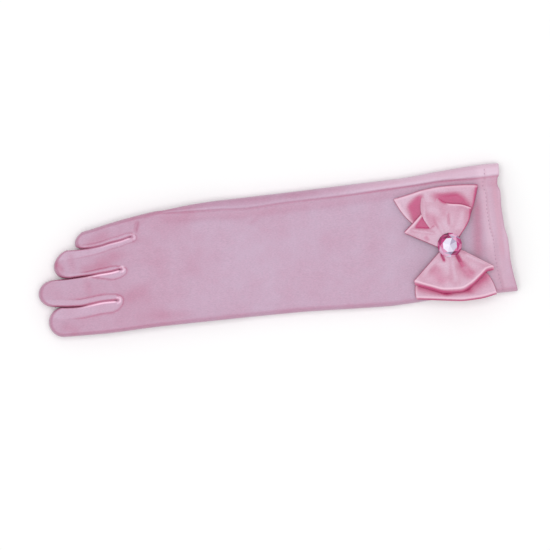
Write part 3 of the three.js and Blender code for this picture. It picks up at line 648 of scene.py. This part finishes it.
def satin(name, lit, painted_shade, turn, roughness, ior, edge, bump=0.00006):
    """A satin material: the weave's colour with painted shade and painted sheen, under a broad cool sheen.
    """
    material = bpy.data.materials.new(name)
    material.use_nodes = True
    tree = material.node_tree
    shader = tree.nodes["Principled BSDF"]
    shader.inputs["Roughness"].default_value = roughness
    shader.inputs["IOR"].default_value = ior
    shader.inputs["Specular Tint"].default_value = SHEEN_TINT
    weave = add_node(tree, "ShaderNodeGroup", -300, 100, node_tree=SATIN_WEAVE)
    weave.inputs["Lit"].default_value = (*lit, 1)
    weave.inputs["Painted_Shade"].default_value = (*painted_shade, 1)
    weave.inputs["Turn"].default_value = turn
    tree.links.new(weave.outputs["Color"], shader.inputs["Base Color"])
    # The edge colour is the colour of the painted highlights and sheen; the deep colour is the painted shade
    # colour.
    weave.inputs["Painted_Sheen_Color"].default_value = (*edge, 1)
    # The fold mark says how much painted shade lies on a place, the pale mark how much painted sheen.
    for number, mark in enumerate(("Fold", "Painted_Sheen")):
        noted = add_node(tree, "ShaderNodeAttribute", -550, 100 - 200 * number, attribute_name=mark.lower())
        tree.links.new(noted.outputs["Fac"], weave.inputs[mark])
    relief_of_weave = add_node(tree, "ShaderNodeBump", -100, -300, Strength=0.5, Distance=bump)
    tree.links.new(weave.outputs["Height"], relief_of_weave.inputs["Height"])
    tree.links.new(relief_of_weave.outputs["Normal"], shader.inputs["Normal"])
    return material


# The glove's satin: its lit colour, the deeper pink of its painted shade and the pale colour of its painted
# sheen.
GLOVE_LIT = (0.537, 0.296, 0.420)
GLOVE_PAINTED_SHADE = (0.48, 0.095, 0.195)
GLOVE_PAINTED_SHEEN = (0.93, 0.68, 0.80)
glove_satin = satin("glove_satin", GLOVE_LIT, GLOVE_PAINTED_SHADE, 0.0, 0.40, 1.7, GLOVE_PAINTED_SHEEN)

gussets = [cut_gusset(cloth, number) for number in range(len(SLITS))]
shell = cut_gusset(cloth, None)
cloth.free()
note_finish(shell)

# The hem is turned in at the cuff: the edge is pulled round a small fold and back inside.
HEM_TURN = [(0.45, 0.15), (0.65, 0.6), (0.4, 1.1), (0.0, 1.3), (-3.0, 1.4), (-7.6, 1.4)]
rim = [edge for edge in shell.edges if edge.is_boundary and all(v.co.x > 100 for v in edge.verts)]
started = {vert: vert.co.copy() for edge in rim for vert in edge.verts}
for out, inside in HEM_TURN:
    grown = bmesh.ops.extrude_edge_only(shell, edges=rim)["geom"]
    starts = {tuple(vert.co): start for vert, start in started.items()}
    rim = [item for item in grown if isinstance(item, bmesh.types.BMEdge)]
    started = {item: starts[tuple(item.co)] for item in grown if isinstance(item, bmesh.types.BMVert)}
    for vert, start in started.items():
        height = (BACK(start.x) + PALM(start.x)) / 2
        half = (LINES[4](start.x) - LINES[0](start.x)) / 2
        middle = (LINES[4](start.x) + LINES[0](start.x)) / 2
        side = (start.y - middle) / half
        pull = Vector((0, -side ** 9, -1 if start.z > height else 1))
        pull.z *= math.sqrt(max(1 - side ** 10, 0))
        vert.co = start + Vector((out, 0, 0)) + pull * inside
bmesh.ops.recalc_face_normals(shell, faces=shell.faces)

glove = finish_piece(shell, "glove", glove_satin, solid=CLOTH)
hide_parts("glove_shell")


# The gusset strips: narrow hairpins of the same satin, set in on edge round each slit so that the fingers
# have sides. Their folds catch the light beside the slit, and a dark hole is left where each one turns.
# The gussets' lit colour and the pale colour of the painted highlight on their folds beside the slits; they
# share the glove's painted shade colour.
GUSSET_LIT = (0.56, 0.29, 0.42)
GUSSET_PAINTED_HIGHLIGHT = (1.0, 0.57, 0.75)
gusset_satin = satin("gusset_satin", GUSSET_LIT, GLOVE_PAINTED_SHADE, 0.2, 0.34, 1.8, GUSSET_PAINTED_HIGHLIGHT)
for slit, piece in zip(SLITS, gussets):
    note_finish(piece)
    gusset = finish_piece(piece, slit["gusset"].replace("fourchette", "gusset"), gusset_satin, solid=CLOTH)
    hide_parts(slit["gusset"])


# The thumb: a small flattened tube of the same satin, folded flat under the palm. It is sewn in where the
# palm's side begins and only its outline presses on the table.
THUMB_LENGTH = 54.0
THUMB_WIDTH = 18.0
THUMB_TURN = math.radians(-14)
SQUARENESS = 0.55
thumb_low, thumb_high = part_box("thumb")
thumb_middle = (thumb_low + thumb_high) / 2 / MM
thumb_height = (thumb_high.z - thumb_low.z) / MM
thumb_form = bmesh.new()
bmesh.ops.create_uvsphere(thumb_form, u_segments=40, v_segments=24, radius=1)
for vert in thumb_form.verts:
    vert.co = [math.copysign(abs(value) ** SQUARENESS, value) for value in vert.co]
    vert.co.z += 0.10 * noise.noise((vert.co.x * 2, vert.co.y * 2, 3))
thumb_half = (THUMB_LENGTH / 2, THUMB_WIDTH / 2, thumb_height / 2)
bmesh.ops.scale(thumb_form, vec=thumb_half, verts=thumb_form.verts)
bmesh.ops.rotate(thumb_form, verts=thumb_form.verts, matrix=Matrix.Rotation(THUMB_TURN, 3, "Z"))
bmesh.ops.translate(thumb_form, vec=thumb_middle, verts=thumb_form.verts)
for vert in thumb_form.verts:
    vert.co.z = min(max(vert.co.z, 0), thumb_height)
thumb = finish_piece(thumb_form, "thumb_flat", glove_satin, solid=CLOTH)
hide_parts("thumb")


# The stitches of the hem: a row of short pink threads that holds the turned-in cloth, a hem's length from
# the cuff's edge.
STITCH_STEP = 2.3
STITCH_LENGTH = 1.2
STITCH_THICK = 0.5
stitches = bmesh.new()
side = -35.5
while side < 38.0:
    middle_x = CUFF_EDGE(side) - HEM
    slant = CUFF_EDGE(side + 1) - CUFF_EDGE(side - 1)
    strip = strip_at(middle_x, side)
    level = top_and_palm(middle_x, side, edge_of(middle_x, side, strip))[0]
    bead = bmesh.ops.create_icosphere(stitches, subdivisions=1, radius=0.5)["verts"]
    bmesh.ops.scale(stitches, vec=(STITCH_THICK, STITCH_LENGTH, STITCH_THICK), verts=bead)
    bmesh.ops.rotate(stitches, verts=bead, matrix=Matrix.Rotation(-math.atan2(slant, 2), 3, "Z"))
    bmesh.ops.translate(stitches, vec=(middle_x, side, level + 0.05), verts=bead)
    side += STITCH_STEP
THREAD = (0.50, 0.28, 0.39)
thread_satin = satin("thread", THREAD, THREAD, 0.0, 0.5, 1.5, THREAD)
hem_stitches = finish_piece(stitches, "hem_stitches", thread_satin)


# The bow: five loops of pink satin ribbon, gathered under the stone. Each is a strip that runs out from the
# knot on top, turns over at its outer edge and runs back underneath. Its heights are shaped with listed
# soft ridges and dents, like the folds that the gathering leaves.
RIBBON = 0.4
OUT_STEPS = 60
ACROSS_STEPS = 44
TOP_SHARE = 0.42
FOLD_LINE = 0.90
UNDER_WIDER = 0.45
ROOT_OUT = 3.2
knot_low, knot_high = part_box("bow_knot")
BOW_X = (knot_low.x + knot_high.x) / 2 / MM
BOW_Y = (knot_low.y + knot_high.y) / 2 / MM

# For each loop: the ribbon it is made of, the way it points, half its root's width, how far its sides bulge
# on the fingers' and the cuff's side and how late, how much painted highlight both sides have or, below 0,
# how much painted shadow, how much painted highlight its outer edge has, that edge as points (across, out)
# from the fingers' side to the cuff's side, its heights at the root, at both ends of the edge and
# underneath, its puff, how far the turned edge leans out, how much painted shade it has and from where on it
# is crisp. Folds are as on the glove, in (across, out), and a patch is a dent with a few corners and soft
# sides; their pink is painted shade, and a pink above 1 paints a darker shadow line.
LOOPS = [
    {
        "node": "bow_under_loop_outer", "flat": (0.040, 0.066),
        "heading": 90, "root": 5.5, "bulge": (-4.2, 2.0, 0.9), "rim": (0.40, -1.3), "painted_sheen": 0.5,
        "edge": [(-29.3, 30.0), (-19.5, 31.8), (-12.8, 33.2), (-1.4, 34.2), (11.0, 33.8), (20.4, 32.8)],
        "heights": (13.0, 13.2, 13.4, 10.5), "puff": 0.8, "lean": 0.3, "turned": 0.1, "crisp": -1.2,
        "folds": [
            {"line": (-10.0, 31.8, 14.0, 31.8), "width": 1.4, "fade": 4.0, "height": 0.4, "pink": 0.0},
            {"line": (-27.0, 27.0, -22.5, 18.0), "width": 1.3, "fade": 3.0, "height": 0.3, "pink": 0.0},
            {"line": (17.0, 29.0, 13.5, 12.0), "width": 1.3, "fade": 3.0, "height": 0.2, "pink": 0.25},
        ],
        "patches": [
            {"corners": [(-12.6, 33.6), (-22.4, 25.8), (-18.3, 12.5), (-13.4, 17.0)], "soft": 4.0,
             "height": -0.9, "pink": 1.0},
            {"corners": [(-7.0, 31.0), (9.5, 29.8), (16.2, 20.0), (1.0, 18.0)], "soft": 5.5,
             "height": -1.1, "pink": 1.0},
        ],
    },
    {
        "node": "bow_under_loop_inner", "flat": (0.040, 0.066),
        "heading": -90, "root": 5.5, "bulge": (-5.0, 3.6, 1.2), "rim": (0.30, 0.15), "painted_sheen": 0.6,
        "edge": [(-22.7, 28.4), (-14.7, 29.6), (-4.2, 31.2), (5.7, 32.4), (14.6, 32.2), (24.4, 30.6)],
        "heights": (13.0, 13.0, 13.0, 10.5), "puff": 0.2, "lean": 1.3, "turned": 0.5, "crisp": -1.2,
        "folds": [
            {"line": (-20.5, 21.6, -4.3, 27.0), "width": 3.4, "fade": 1.5, "height": -0.5, "pink": 1.0},
            {"line": (-4.3, 27.0, 8.5, 26.4), "width": 3.6, "fade": 1.5, "height": -0.5, "pink": 1.0},
            {"line": (8.5, 26.4, 20.5, 18.6), "width": 4.4, "fade": 1.5, "height": -0.5, "pink": 0.9},
            {"line": (-19.5, 21.2, -4.3, 26.9), "width": 1.0, "fade": 1.0, "height": -0.2, "pink": 1.8},
            {"line": (-4.3, 26.9, 7.5, 26.7), "width": 1.0, "fade": 1.0, "height": -0.2, "pink": 1.9},
            {"line": (7.5, 26.7, 17.5, 20.4), "width": 0.9, "fade": 1.5, "height": -0.2, "pink": 1.5},
            {"line": (-10.0, 29.6, 14.0, 31.6), "width": 1.2, "fade": 8.0, "height": 0.3, "pink": 0.2},
        ],
        "patches": [],
    },
    {
        "node": "bow_top_loop_outer", "flat": (0.026, 0.052),
        "heading": 90, "root": 5.0, "bulge": (-5.2, 2.2, 1.1), "rim": (0.30, -1.3), "painted_sheen": 0.8,
        "edge": [(-12.0, 32.0), (-8.5, 31.6), (-5.2, 29.4), (-1.6, 26.2), (2.1, 23.9), (9.0, 22.6),
                 (14.8, 20.2)],
        "heights": (15.6, 12.4, 15.8, 11.6), "puff": 1.5, "lean": 0.5, "turned": 0.4, "crisp": 0.2,
        "folds": [
            {"line": (1.0, 17.4, 0.9, 13.0), "width": 0.7, "fade": 1.5, "height": -0.5, "pink": 0.35},
            {"line": (-8.0, 12.0, -9.0, 18.0), "width": 2.5, "fade": 3.0, "height": -0.5, "pink": 0.25},
            {"line": (-12.6, 20.0, -12.2, 30.0), "width": 1.2, "fade": 3.0, "height": 0.5, "pink": 0.0},
            {"line": (-3.0, 8.0, -5.5, 14.0), "width": 1.6, "fade": 3.0, "height": 0.5, "pink": 0.0},
            {"line": (-1.0, 20.0, -2.0, 24.0), "width": 2.2, "fade": 3.0, "height": -0.3, "pink": 0.2},
            {"line": (5.0, 9.0, 9.0, 18.0), "width": 2.6, "fade": 3.0, "height": 0.5, "pink": 0.0},
            {"line": (11.5, 12.0, 13.0, 18.0), "width": 1.6, "fade": 2.5, "height": -0.4, "pink": 0.25},
        ],
        "patches": [
            {"corners": [(-6.0, 31.5), (3.0, 30.0), (1.8, 24.0), (-2.0, 24.5)], "soft": 3.0,
             "height": 0.0, "pink": 0.9},
        ],
    },
    {
        "node": "bow_top_loop_inner", "flat": (0.036, 0.046),
        "heading": -90, "root": 6.0, "bulge": (0.0, 0.0, 1.0), "rim": (0.15, 0.35), "painted_sheen": 0.7,
        "edge": [(-22.9, 18.7), (-13.9, 22.4), (-5.3, 25.4), (3.5, 25.9), (9.7, 23.6), (16.1, 19.0),
                 (20.7, 15.6), (24.3, 15.2)],
        "heights": (15.6, 16.2, 16.2, 13.2), "puff": 1.4, "lean": 2.3, "turned": 0.6, "crisp": -1.2,
        "folds": [
            {"line": (-5.2, 5.2, -4.4, 8.2), "width": 0.7, "fade": 1.0, "height": -0.6, "pink": 1.5},
            {"line": (3.6, 6.6, 4.9, 10.0), "width": 0.8, "fade": 1.0, "height": -0.6, "pink": 1.6},
            {"line": (3.9, 7.0, 6.2, 13.0), "width": 1.2, "fade": 1.3, "height": -0.4, "pink": 0.9},
            {"line": (5.8, 12.6, 10.5, 18.7), "width": 2.8, "fade": 2.6, "height": -0.9, "pink": 0.5},
            {"line": (-9.8, 14.5, -6.5, 19.5), "width": 3.6, "fade": 3.2, "height": -0.8, "pink": 0.4},
            {"line": (0.6, 8.0, 0.9, 21.5), "width": 2.3, "fade": 2.0, "height": 0.8, "pink": 0.0},
            {"line": (9.5, 6.8, 18.5, 13.2), "width": 2.2, "fade": 2.5, "height": 0.7, "pink": 0.0},
            {"line": (-8.5, 7.5, -17.5, 17.0), "width": 1.8, "fade": 2.5, "height": 0.5, "pink": 0.0},
        ],
        "patches": [],
    },
    {
        "node": "bow_side_loop", "flat": (0.011, 0.050),
        "heading": 144, "root": 4.0, "bulge": (0.0, 0.0, 1.0), "rim": (0.15, 0.45), "painted_sheen": 0.7,
        "edge": [(-6.6, 26.3), (-2.5, 25.2), (2.5, 24.0), (7.2, 23.0)],
        "heights": (15.6, 15.2, 15.2, 13.4), "puff": 0.8, "lean": 0.3, "turned": 0.1, "crisp": -1.2,
        "folds": [
            {"line": (-3.7, 13.0, -3.1, 14.0), "width": 1.3, "fade": 1.0, "height": -0.4, "pink": 0.4},
            {"line": (-3.0, 22.5, 1.0, 12.5), "width": 1.0, "fade": 1.5, "height": 0.5, "pink": 0.0},
        ],
        "patches": [
            {"corners": [(9.5, 23.4), (-1.6, 22.8), (2.2, 15.0), (9.5, 12.0)], "soft": 1.8,
             "height": -0.8, "pink": 1.0},
        ],
    },
]
RIBBON_WAVE = 0.35
RIBBON_WAVE_LENGTH = 6.5


def in_patch(patch, across, out):
    """How much of a patch is at a place: 1 well inside its corners and 0 outside, with soft sides."""
    inside = 1
    corners = patch["corners"]
    sides = list(zip(corners, corners[1:] + corners[:1]))
    way = math.copysign(1, sum(a1 * o2 - a2 * o1 for (a1, o1), (a2, o2) in sides))
    for (a1, o1), (a2, o2) in sides:
        away = ((across - a1) * (o2 - o1) - (out - o1) * (a2 - a1)) / math.hypot(a2 - a1, o2 - o1)
        inside *= smooth(0.5 - way * away / patch["soft"])
    return inside


def ribbon_relief(loop, across, out):
    """How far a loop's folds and dents stand off its smooth form at a place, and how much painted shade lies
    there.
    """
    height = 0
    pink = 0
    shares = [(fold, on_fold(fold, across, out)) for fold in loop["folds"]]
    shares += [(patch, in_patch(patch, across, out)) for patch in loop["patches"]]
    for form, share in shares:
        height += form["height"] * share
        pink = max(pink, form["pink"] * share)
    wave = (across / RIBBON_WAVE_LENGTH, out / RIBBON_WAVE_LENGTH, loop["heading"] / 7)
    return height + RIBBON_WAVE * noise.noise(wave), pink


def ribbon_loop(loop):
    """One loop of the bow as a strip of rows from the knot round its outer edge and back."""
    form = bmesh.new()
    bmesh.ops.create_grid(form, x_segments=OUT_STEPS, y_segments=ACROSS_STEPS, size=0.5)
    painted_sheen = form.verts.layers.float.new("painted_sheen")
    fold = form.verts.layers.float.new("fold")
    last = len(loop["edge"]) - 1
    edge_across = line_through(*[(i, point[0]) for i, point in enumerate(loop["edge"])])
    edge_out = line_through(*[(i, point[1]) for i, point in enumerate(loop["edge"])])
    root_top, edge_fingers, edge_cuff, under = loop["heights"]
    bulge_fingers, bulge_cuff, late = loop["bulge"]
    heading = math.radians(loop["heading"])
    ahead = Vector((math.cos(heading), math.sin(heading)))
    beside = Vector((abs(ahead.y), -ahead.x * math.copysign(1, ahead.y)))

    def place(share, side, more):
        t = (side + 1) / 2 * last
        out = lerp(ROOT_OUT, edge_out(t), share) + more
        bulge = bulge_fingers * ((1 - side) / 2) ** 2 + bulge_cuff * ((1 + side) / 2) ** 2
        across = lerp(loop["root"] * side, edge_across(t), share)
        return across + bulge * math.sin(math.pi * min(share, 1) ** late), out

    def top_at(share, side):
        height, pink = ribbon_relief(loop, *place(share, side, 0))
        level = lerp(root_top, lerp(edge_fingers, edge_cuff, smooth((side + 1) / 2) ** 2), share)
        puff = loop["puff"] * math.sin(math.pi * share ** 0.8)
        droop = 0.5 * abs(side) ** 6 * share
        crisp = smooth((side - loop["crisp"]) / 0.2)
        inside = 1 - crisp * smooth((share - FOLD_LINE) / (1 - FOLD_LINE))
        return level + puff - droop + height * inside, pink * inside

    for vert in form.verts:
        along = vert.co.x + 0.5
        side = 2 * vert.co.y
        share = min(along, 1 - along) / TOP_SHARE
        crisp = smooth((side - loop["crisp"]) / 0.2)
        if along <= TOP_SHARE:
            across, out = place(share, side, 0)
            # The top's fold mark is the painted shade of its folds and dents.
            z, vert[fold] = top_at(share, side)
            # A painted highlight along the rounded outer fold.
            vert[painted_sheen] = smooth((share - 0.955) / 0.03) * crisp * loop["painted_sheen"]
        elif along < 1 - TOP_SHARE:
            angle = math.pi * (0.5 - (along - TOP_SHARE) / (1 - 2 * TOP_SHARE))
            high, pink = top_at(1, side)
            z = lerp(under, high, (1 + math.sin(angle)) / 2)
            across, out = place(1, side, loop["lean"] * crisp * math.cos(angle))
            below_edge = smooth(2 * math.cos(angle)) if angle > 0 else 1
            # Painted shade on the turned edge, below its crest.
            vert[fold] = max(pink, loop["turned"] * crisp * below_edge)
        else:
            across, out = place(share, side, 0)
            across += UNDER_WIDER * side
            z = min(under, top_at(share, side)[0] - 0.8)
            # Underneath, the ribbon is all painted shade.
            vert[fold] = 1
        # Along both sides a painted highlight, or for a rim below 0 a painted shadow line.
        rim = loop["rim"][int(side > 0)] * smooth((abs(side) - 0.93) / 0.05)
        if side < 0:
            rim *= max(crisp, 1 - smooth(share))
        vert[painted_sheen] = max(vert[painted_sheen], rim)
        vert[fold] = max(vert[fold], -rim)
        spot = Vector((BOW_X, BOW_Y)) + ahead * out + beside * across
        vert.co = (spot.x, spot.y, z)
    bmesh.ops.recalc_face_normals(form, faces=form.faces)
    return form


# The ribbon's lit colour, the deeper pink of its painted shade and the pale colour of its painted
# highlights.
RIBBON_LIT = (0.665, 0.405, 0.52)
RIBBON_PAINTED_SHADE = (0.53, 0.060, 0.18)
RIBBON_PAINTED_SHEEN = (0.90, 0.58, 0.70)
ribbon_satin = satin("ribbon_satin", RIBBON_LIT, RIBBON_PAINTED_SHADE, 1.2, 0.34, 1.48, RIBBON_PAINTED_SHEEN)
for loop in LOOPS:
    form = ribbon_loop(loop)
    made = finish_piece(form, loop["node"].replace("bow_", "ribbon_"), ribbon_satin, solid=RIBBON)
    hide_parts(loop["node"])


# The knot: the middle of the ribbon, pulled together into small pleats under the stone.
KNOT_PLEATS = 11
KNOT_PLEAT_DEPTH = 0.08
knot_form = bmesh.new()
bmesh.ops.create_uvsphere(knot_form, u_segments=88, v_segments=24, radius=1)
knot_half = (knot_high - knot_low) / 2 / MM
for vert in knot_form.verts:
    turn = math.atan2(vert.co.y, vert.co.x)
    ripple = 1 + KNOT_PLEAT_DEPTH * math.cos(KNOT_PLEATS * turn)
    vert.co = (vert.co.x * ripple, vert.co.y * ripple, math.copysign(abs(vert.co.z) ** 0.6, vert.co.z))
bmesh.ops.scale(knot_form, vec=knot_half, verts=knot_form.verts)
bmesh.ops.translate(knot_form, vec=(knot_low + knot_high) / 2 / MM, verts=knot_form.verts)
knot = finish_piece(knot_form, "knot", ribbon_satin)
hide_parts("bow_knot")


# The stone: a round flat-backed rhinestone of clear pink glass with a foiled back. Its crown is cut in two
# rows of facets round an eight-sided table.
STONE_TIERS = [
    {"radius": 0.93, "height": 0.00, "sides": 16, "turn": 0.0},
    {"radius": 1.00, "height": 0.22, "sides": 16, "turn": 0.0},
    {"radius": 0.96, "height": 0.36, "sides": 16, "turn": 0.0},
    {"radius": 0.82, "height": 0.74, "sides": 8, "turn": 0.0},
    {"radius": 0.60, "height": 1.00, "sides": 8, "turn": 0.5},
]
stone_low, stone_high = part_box("stone")
stone_middle = (stone_low + stone_high) / 2 / MM
stone_radius = (stone_high.x - stone_low.x) / 2 / MM
stone_height = (stone_high.z - stone_low.z) / MM
stone_form = bmesh.new()
for tier in STONE_TIERS:
    turn = 2 * math.pi * tier["turn"] / tier["sides"]
    level = stone_low.z / MM + tier["height"] * stone_height
    lift = Matrix.Translation((stone_middle.x, stone_middle.y, level))
    bmesh.ops.create_circle(
        stone_form, segments=tier["sides"], radius=tier["radius"] * stone_radius,
        matrix=lift @ Matrix.Rotation(turn, 4, "Z"),
    )
bmesh.ops.convex_hull(stone_form, input=stone_form.verts)
bmesh.ops.dissolve_limit(stone_form, angle_limit=0.02, verts=stone_form.verts, edges=stone_form.edges)
bmesh.ops.recalc_face_normals(stone_form, faces=stone_form.faces)

LEVEL = 0.98
table_faces = [face for face in stone_form.faces if face.normal.z > LEVEL]
bmesh.ops.poke(stone_form, faces=table_faces)

# The painted reflection that each facet shows of the foil behind it, from 0 for dark rose to 1 for white, in
# sixteen directions that start at the cuff's side and turn to the little finger's. Facets of the same ring
# differ a little.
CROWN_TONES = [0.40, 0.78, 0.84, 0.26, 0.10, 0.14, 0.24, 0.38,
               0.42, 0.72, 0.84, 0.96, 0.80, 0.14, 0.38, 0.44]
TABLE_TONES = [0.90, 0.92, 0.98, 1.0, 1.0, 0.99, 0.97, 0.94]
RING_STEP = 0.10
RING_SLOPE = 0.72
PAINTED_REFLECTION_DARK = (0.13, 0.008, 0.05, 1)
PAINTED_REFLECTION_WHITE = (0.76, 0.71, 0.85, 1)
PAINTED_REFLECTION_BETWEEN = {0.4: (0.58, 0.04, 0.22, 1), 0.8: (0.86, 0.52, 0.72, 1), 0.9: (0.30, 0.23, 0.38, 1)}
facet_layer = stone_form.loops.layers.float_color.new("facet")
for face in stone_form.faces:
    spot = face.calc_center_median() - stone_middle
    around = math.atan2(spot.y, spot.x) / (2 * math.pi) % 1
    if face.normal.z > LEVEL:
        bright = TABLE_TONES[int(around * len(TABLE_TONES))]
    else:
        sector = int(around * len(CROWN_TONES))
        ring = math.copysign(RING_STEP, face.normal.z - RING_SLOPE)
        bright = min(max(CROWN_TONES[sector] + ring * (-1) ** sector, 0), 1)
    for corner in face.loops:
        corner[facet_layer] = (bright, bright, bright, 1)

# The glass is drawn opaque: what the foil reflects is painted into each facet's colour.
rose_glass = bpy.data.materials.new("rose_glass")
rose_glass.use_nodes = True
tree = rose_glass.node_tree
shader = tree.nodes["Principled BSDF"]
shader.inputs["Roughness"].default_value = 0.05
shader.inputs["Coat Weight"].default_value = 0.25
shader.inputs["Coat Roughness"].default_value = 0.02
facet = add_node(tree, "ShaderNodeAttribute", -700, 0, attribute_name="facet")
tones = add_node(tree, "ShaderNodeValToRGB", -450, 0)
tones.color_ramp.elements[0].color = PAINTED_REFLECTION_DARK
tones.color_ramp.elements[1].color = PAINTED_REFLECTION_WHITE
for share, color in PAINTED_REFLECTION_BETWEEN.items():
    tones.color_ramp.elements.new(share).color = color
tree.links.new(facet.outputs["Fac"], tones.inputs["Fac"])
tree.links.new(tones.outputs["Color"], shader.inputs["Base Color"])
stone = finish_piece(stone_form, "rhinestone", rose_glass, smooth_faces=False)
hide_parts("stone")


# Stage: a plain white table under the glove, a large soft light straight above it and a pale room round it.
# The camera looks straight down, turned so that the sleeve rises gently to the right.
VIEW_WIDTH = 0.3236
VIEW_TURN = math.radians(6.5)
VIEW_X = -0.0008
VIEW_Y = -0.0117
CAMERA_HEIGHT = 2.4
VIEW_LEVEL = 0.009
ROOM_LIGHT = 0.62
SOFTBOX_SIZE = 2.1
SOFTBOX_HEIGHT = 2.5
SOFTBOX_POWER = 35.0
TABLE_HALF = 1.5
TABLE_BELOW = 0.0002
TABLE_WHITE = 0.95
SENSOR = 36.0
scene = bpy.context.scene
scene.view_settings.view_transform = "Standard"

table = bmesh.new()
bmesh.ops.create_grid(table, x_segments=1, y_segments=1, size=TABLE_HALF)
bmesh.ops.translate(table, vec=(0, 0, -TABLE_BELOW), verts=table.verts)
table_mesh = bpy.data.meshes.new("table_top")
table.to_mesh(table_mesh)
table.free()
table_top = bpy.data.objects.new("table_top", table_mesh)
scene.collection.objects.link(table_top)
white = bpy.data.materials.new("white_table")
white.use_nodes = True
white_shader = white.node_tree.nodes["Principled BSDF"]
white_shader.inputs["Base Color"].default_value = (TABLE_WHITE, TABLE_WHITE, TABLE_WHITE, 1)
white_shader.inputs["Roughness"].default_value = 0.9
table_mesh.materials.append(white)

room = bpy.data.worlds.new("room")
room.use_nodes = True
room.node_tree.nodes["Background"].inputs["Color"].default_value = (1, 1, 1, 1)
room.node_tree.nodes["Background"].inputs["Strength"].default_value = ROOM_LIGHT
scene.world = room

softbox = bpy.data.lights.new("softbox", "AREA")
softbox.shape = "SQUARE"
softbox.size = SOFTBOX_SIZE
softbox.energy = SOFTBOX_POWER
softbox_above = bpy.data.objects.new("softbox", softbox)
softbox_above.location = (0, 0, SOFTBOX_HEIGHT)
scene.collection.objects.link(softbox_above)

camera = bpy.data.cameras.new("camera")
camera.sensor_width = SENSOR
camera.lens = SENSOR * (CAMERA_HEIGHT - VIEW_LEVEL) / VIEW_WIDTH
camera_above = bpy.data.objects.new("camera", camera)
camera_above.matrix_world = (
    Matrix.Translation((VIEW_X, VIEW_Y, CAMERA_HEIGHT)) @ Matrix.Rotation(-VIEW_TURN, 4, "Z")
)
scene.collection.objects.link(camera_above)
scene.camera = camera_above


def corners(bounds):
    return [list(corner) for corner in bounds]
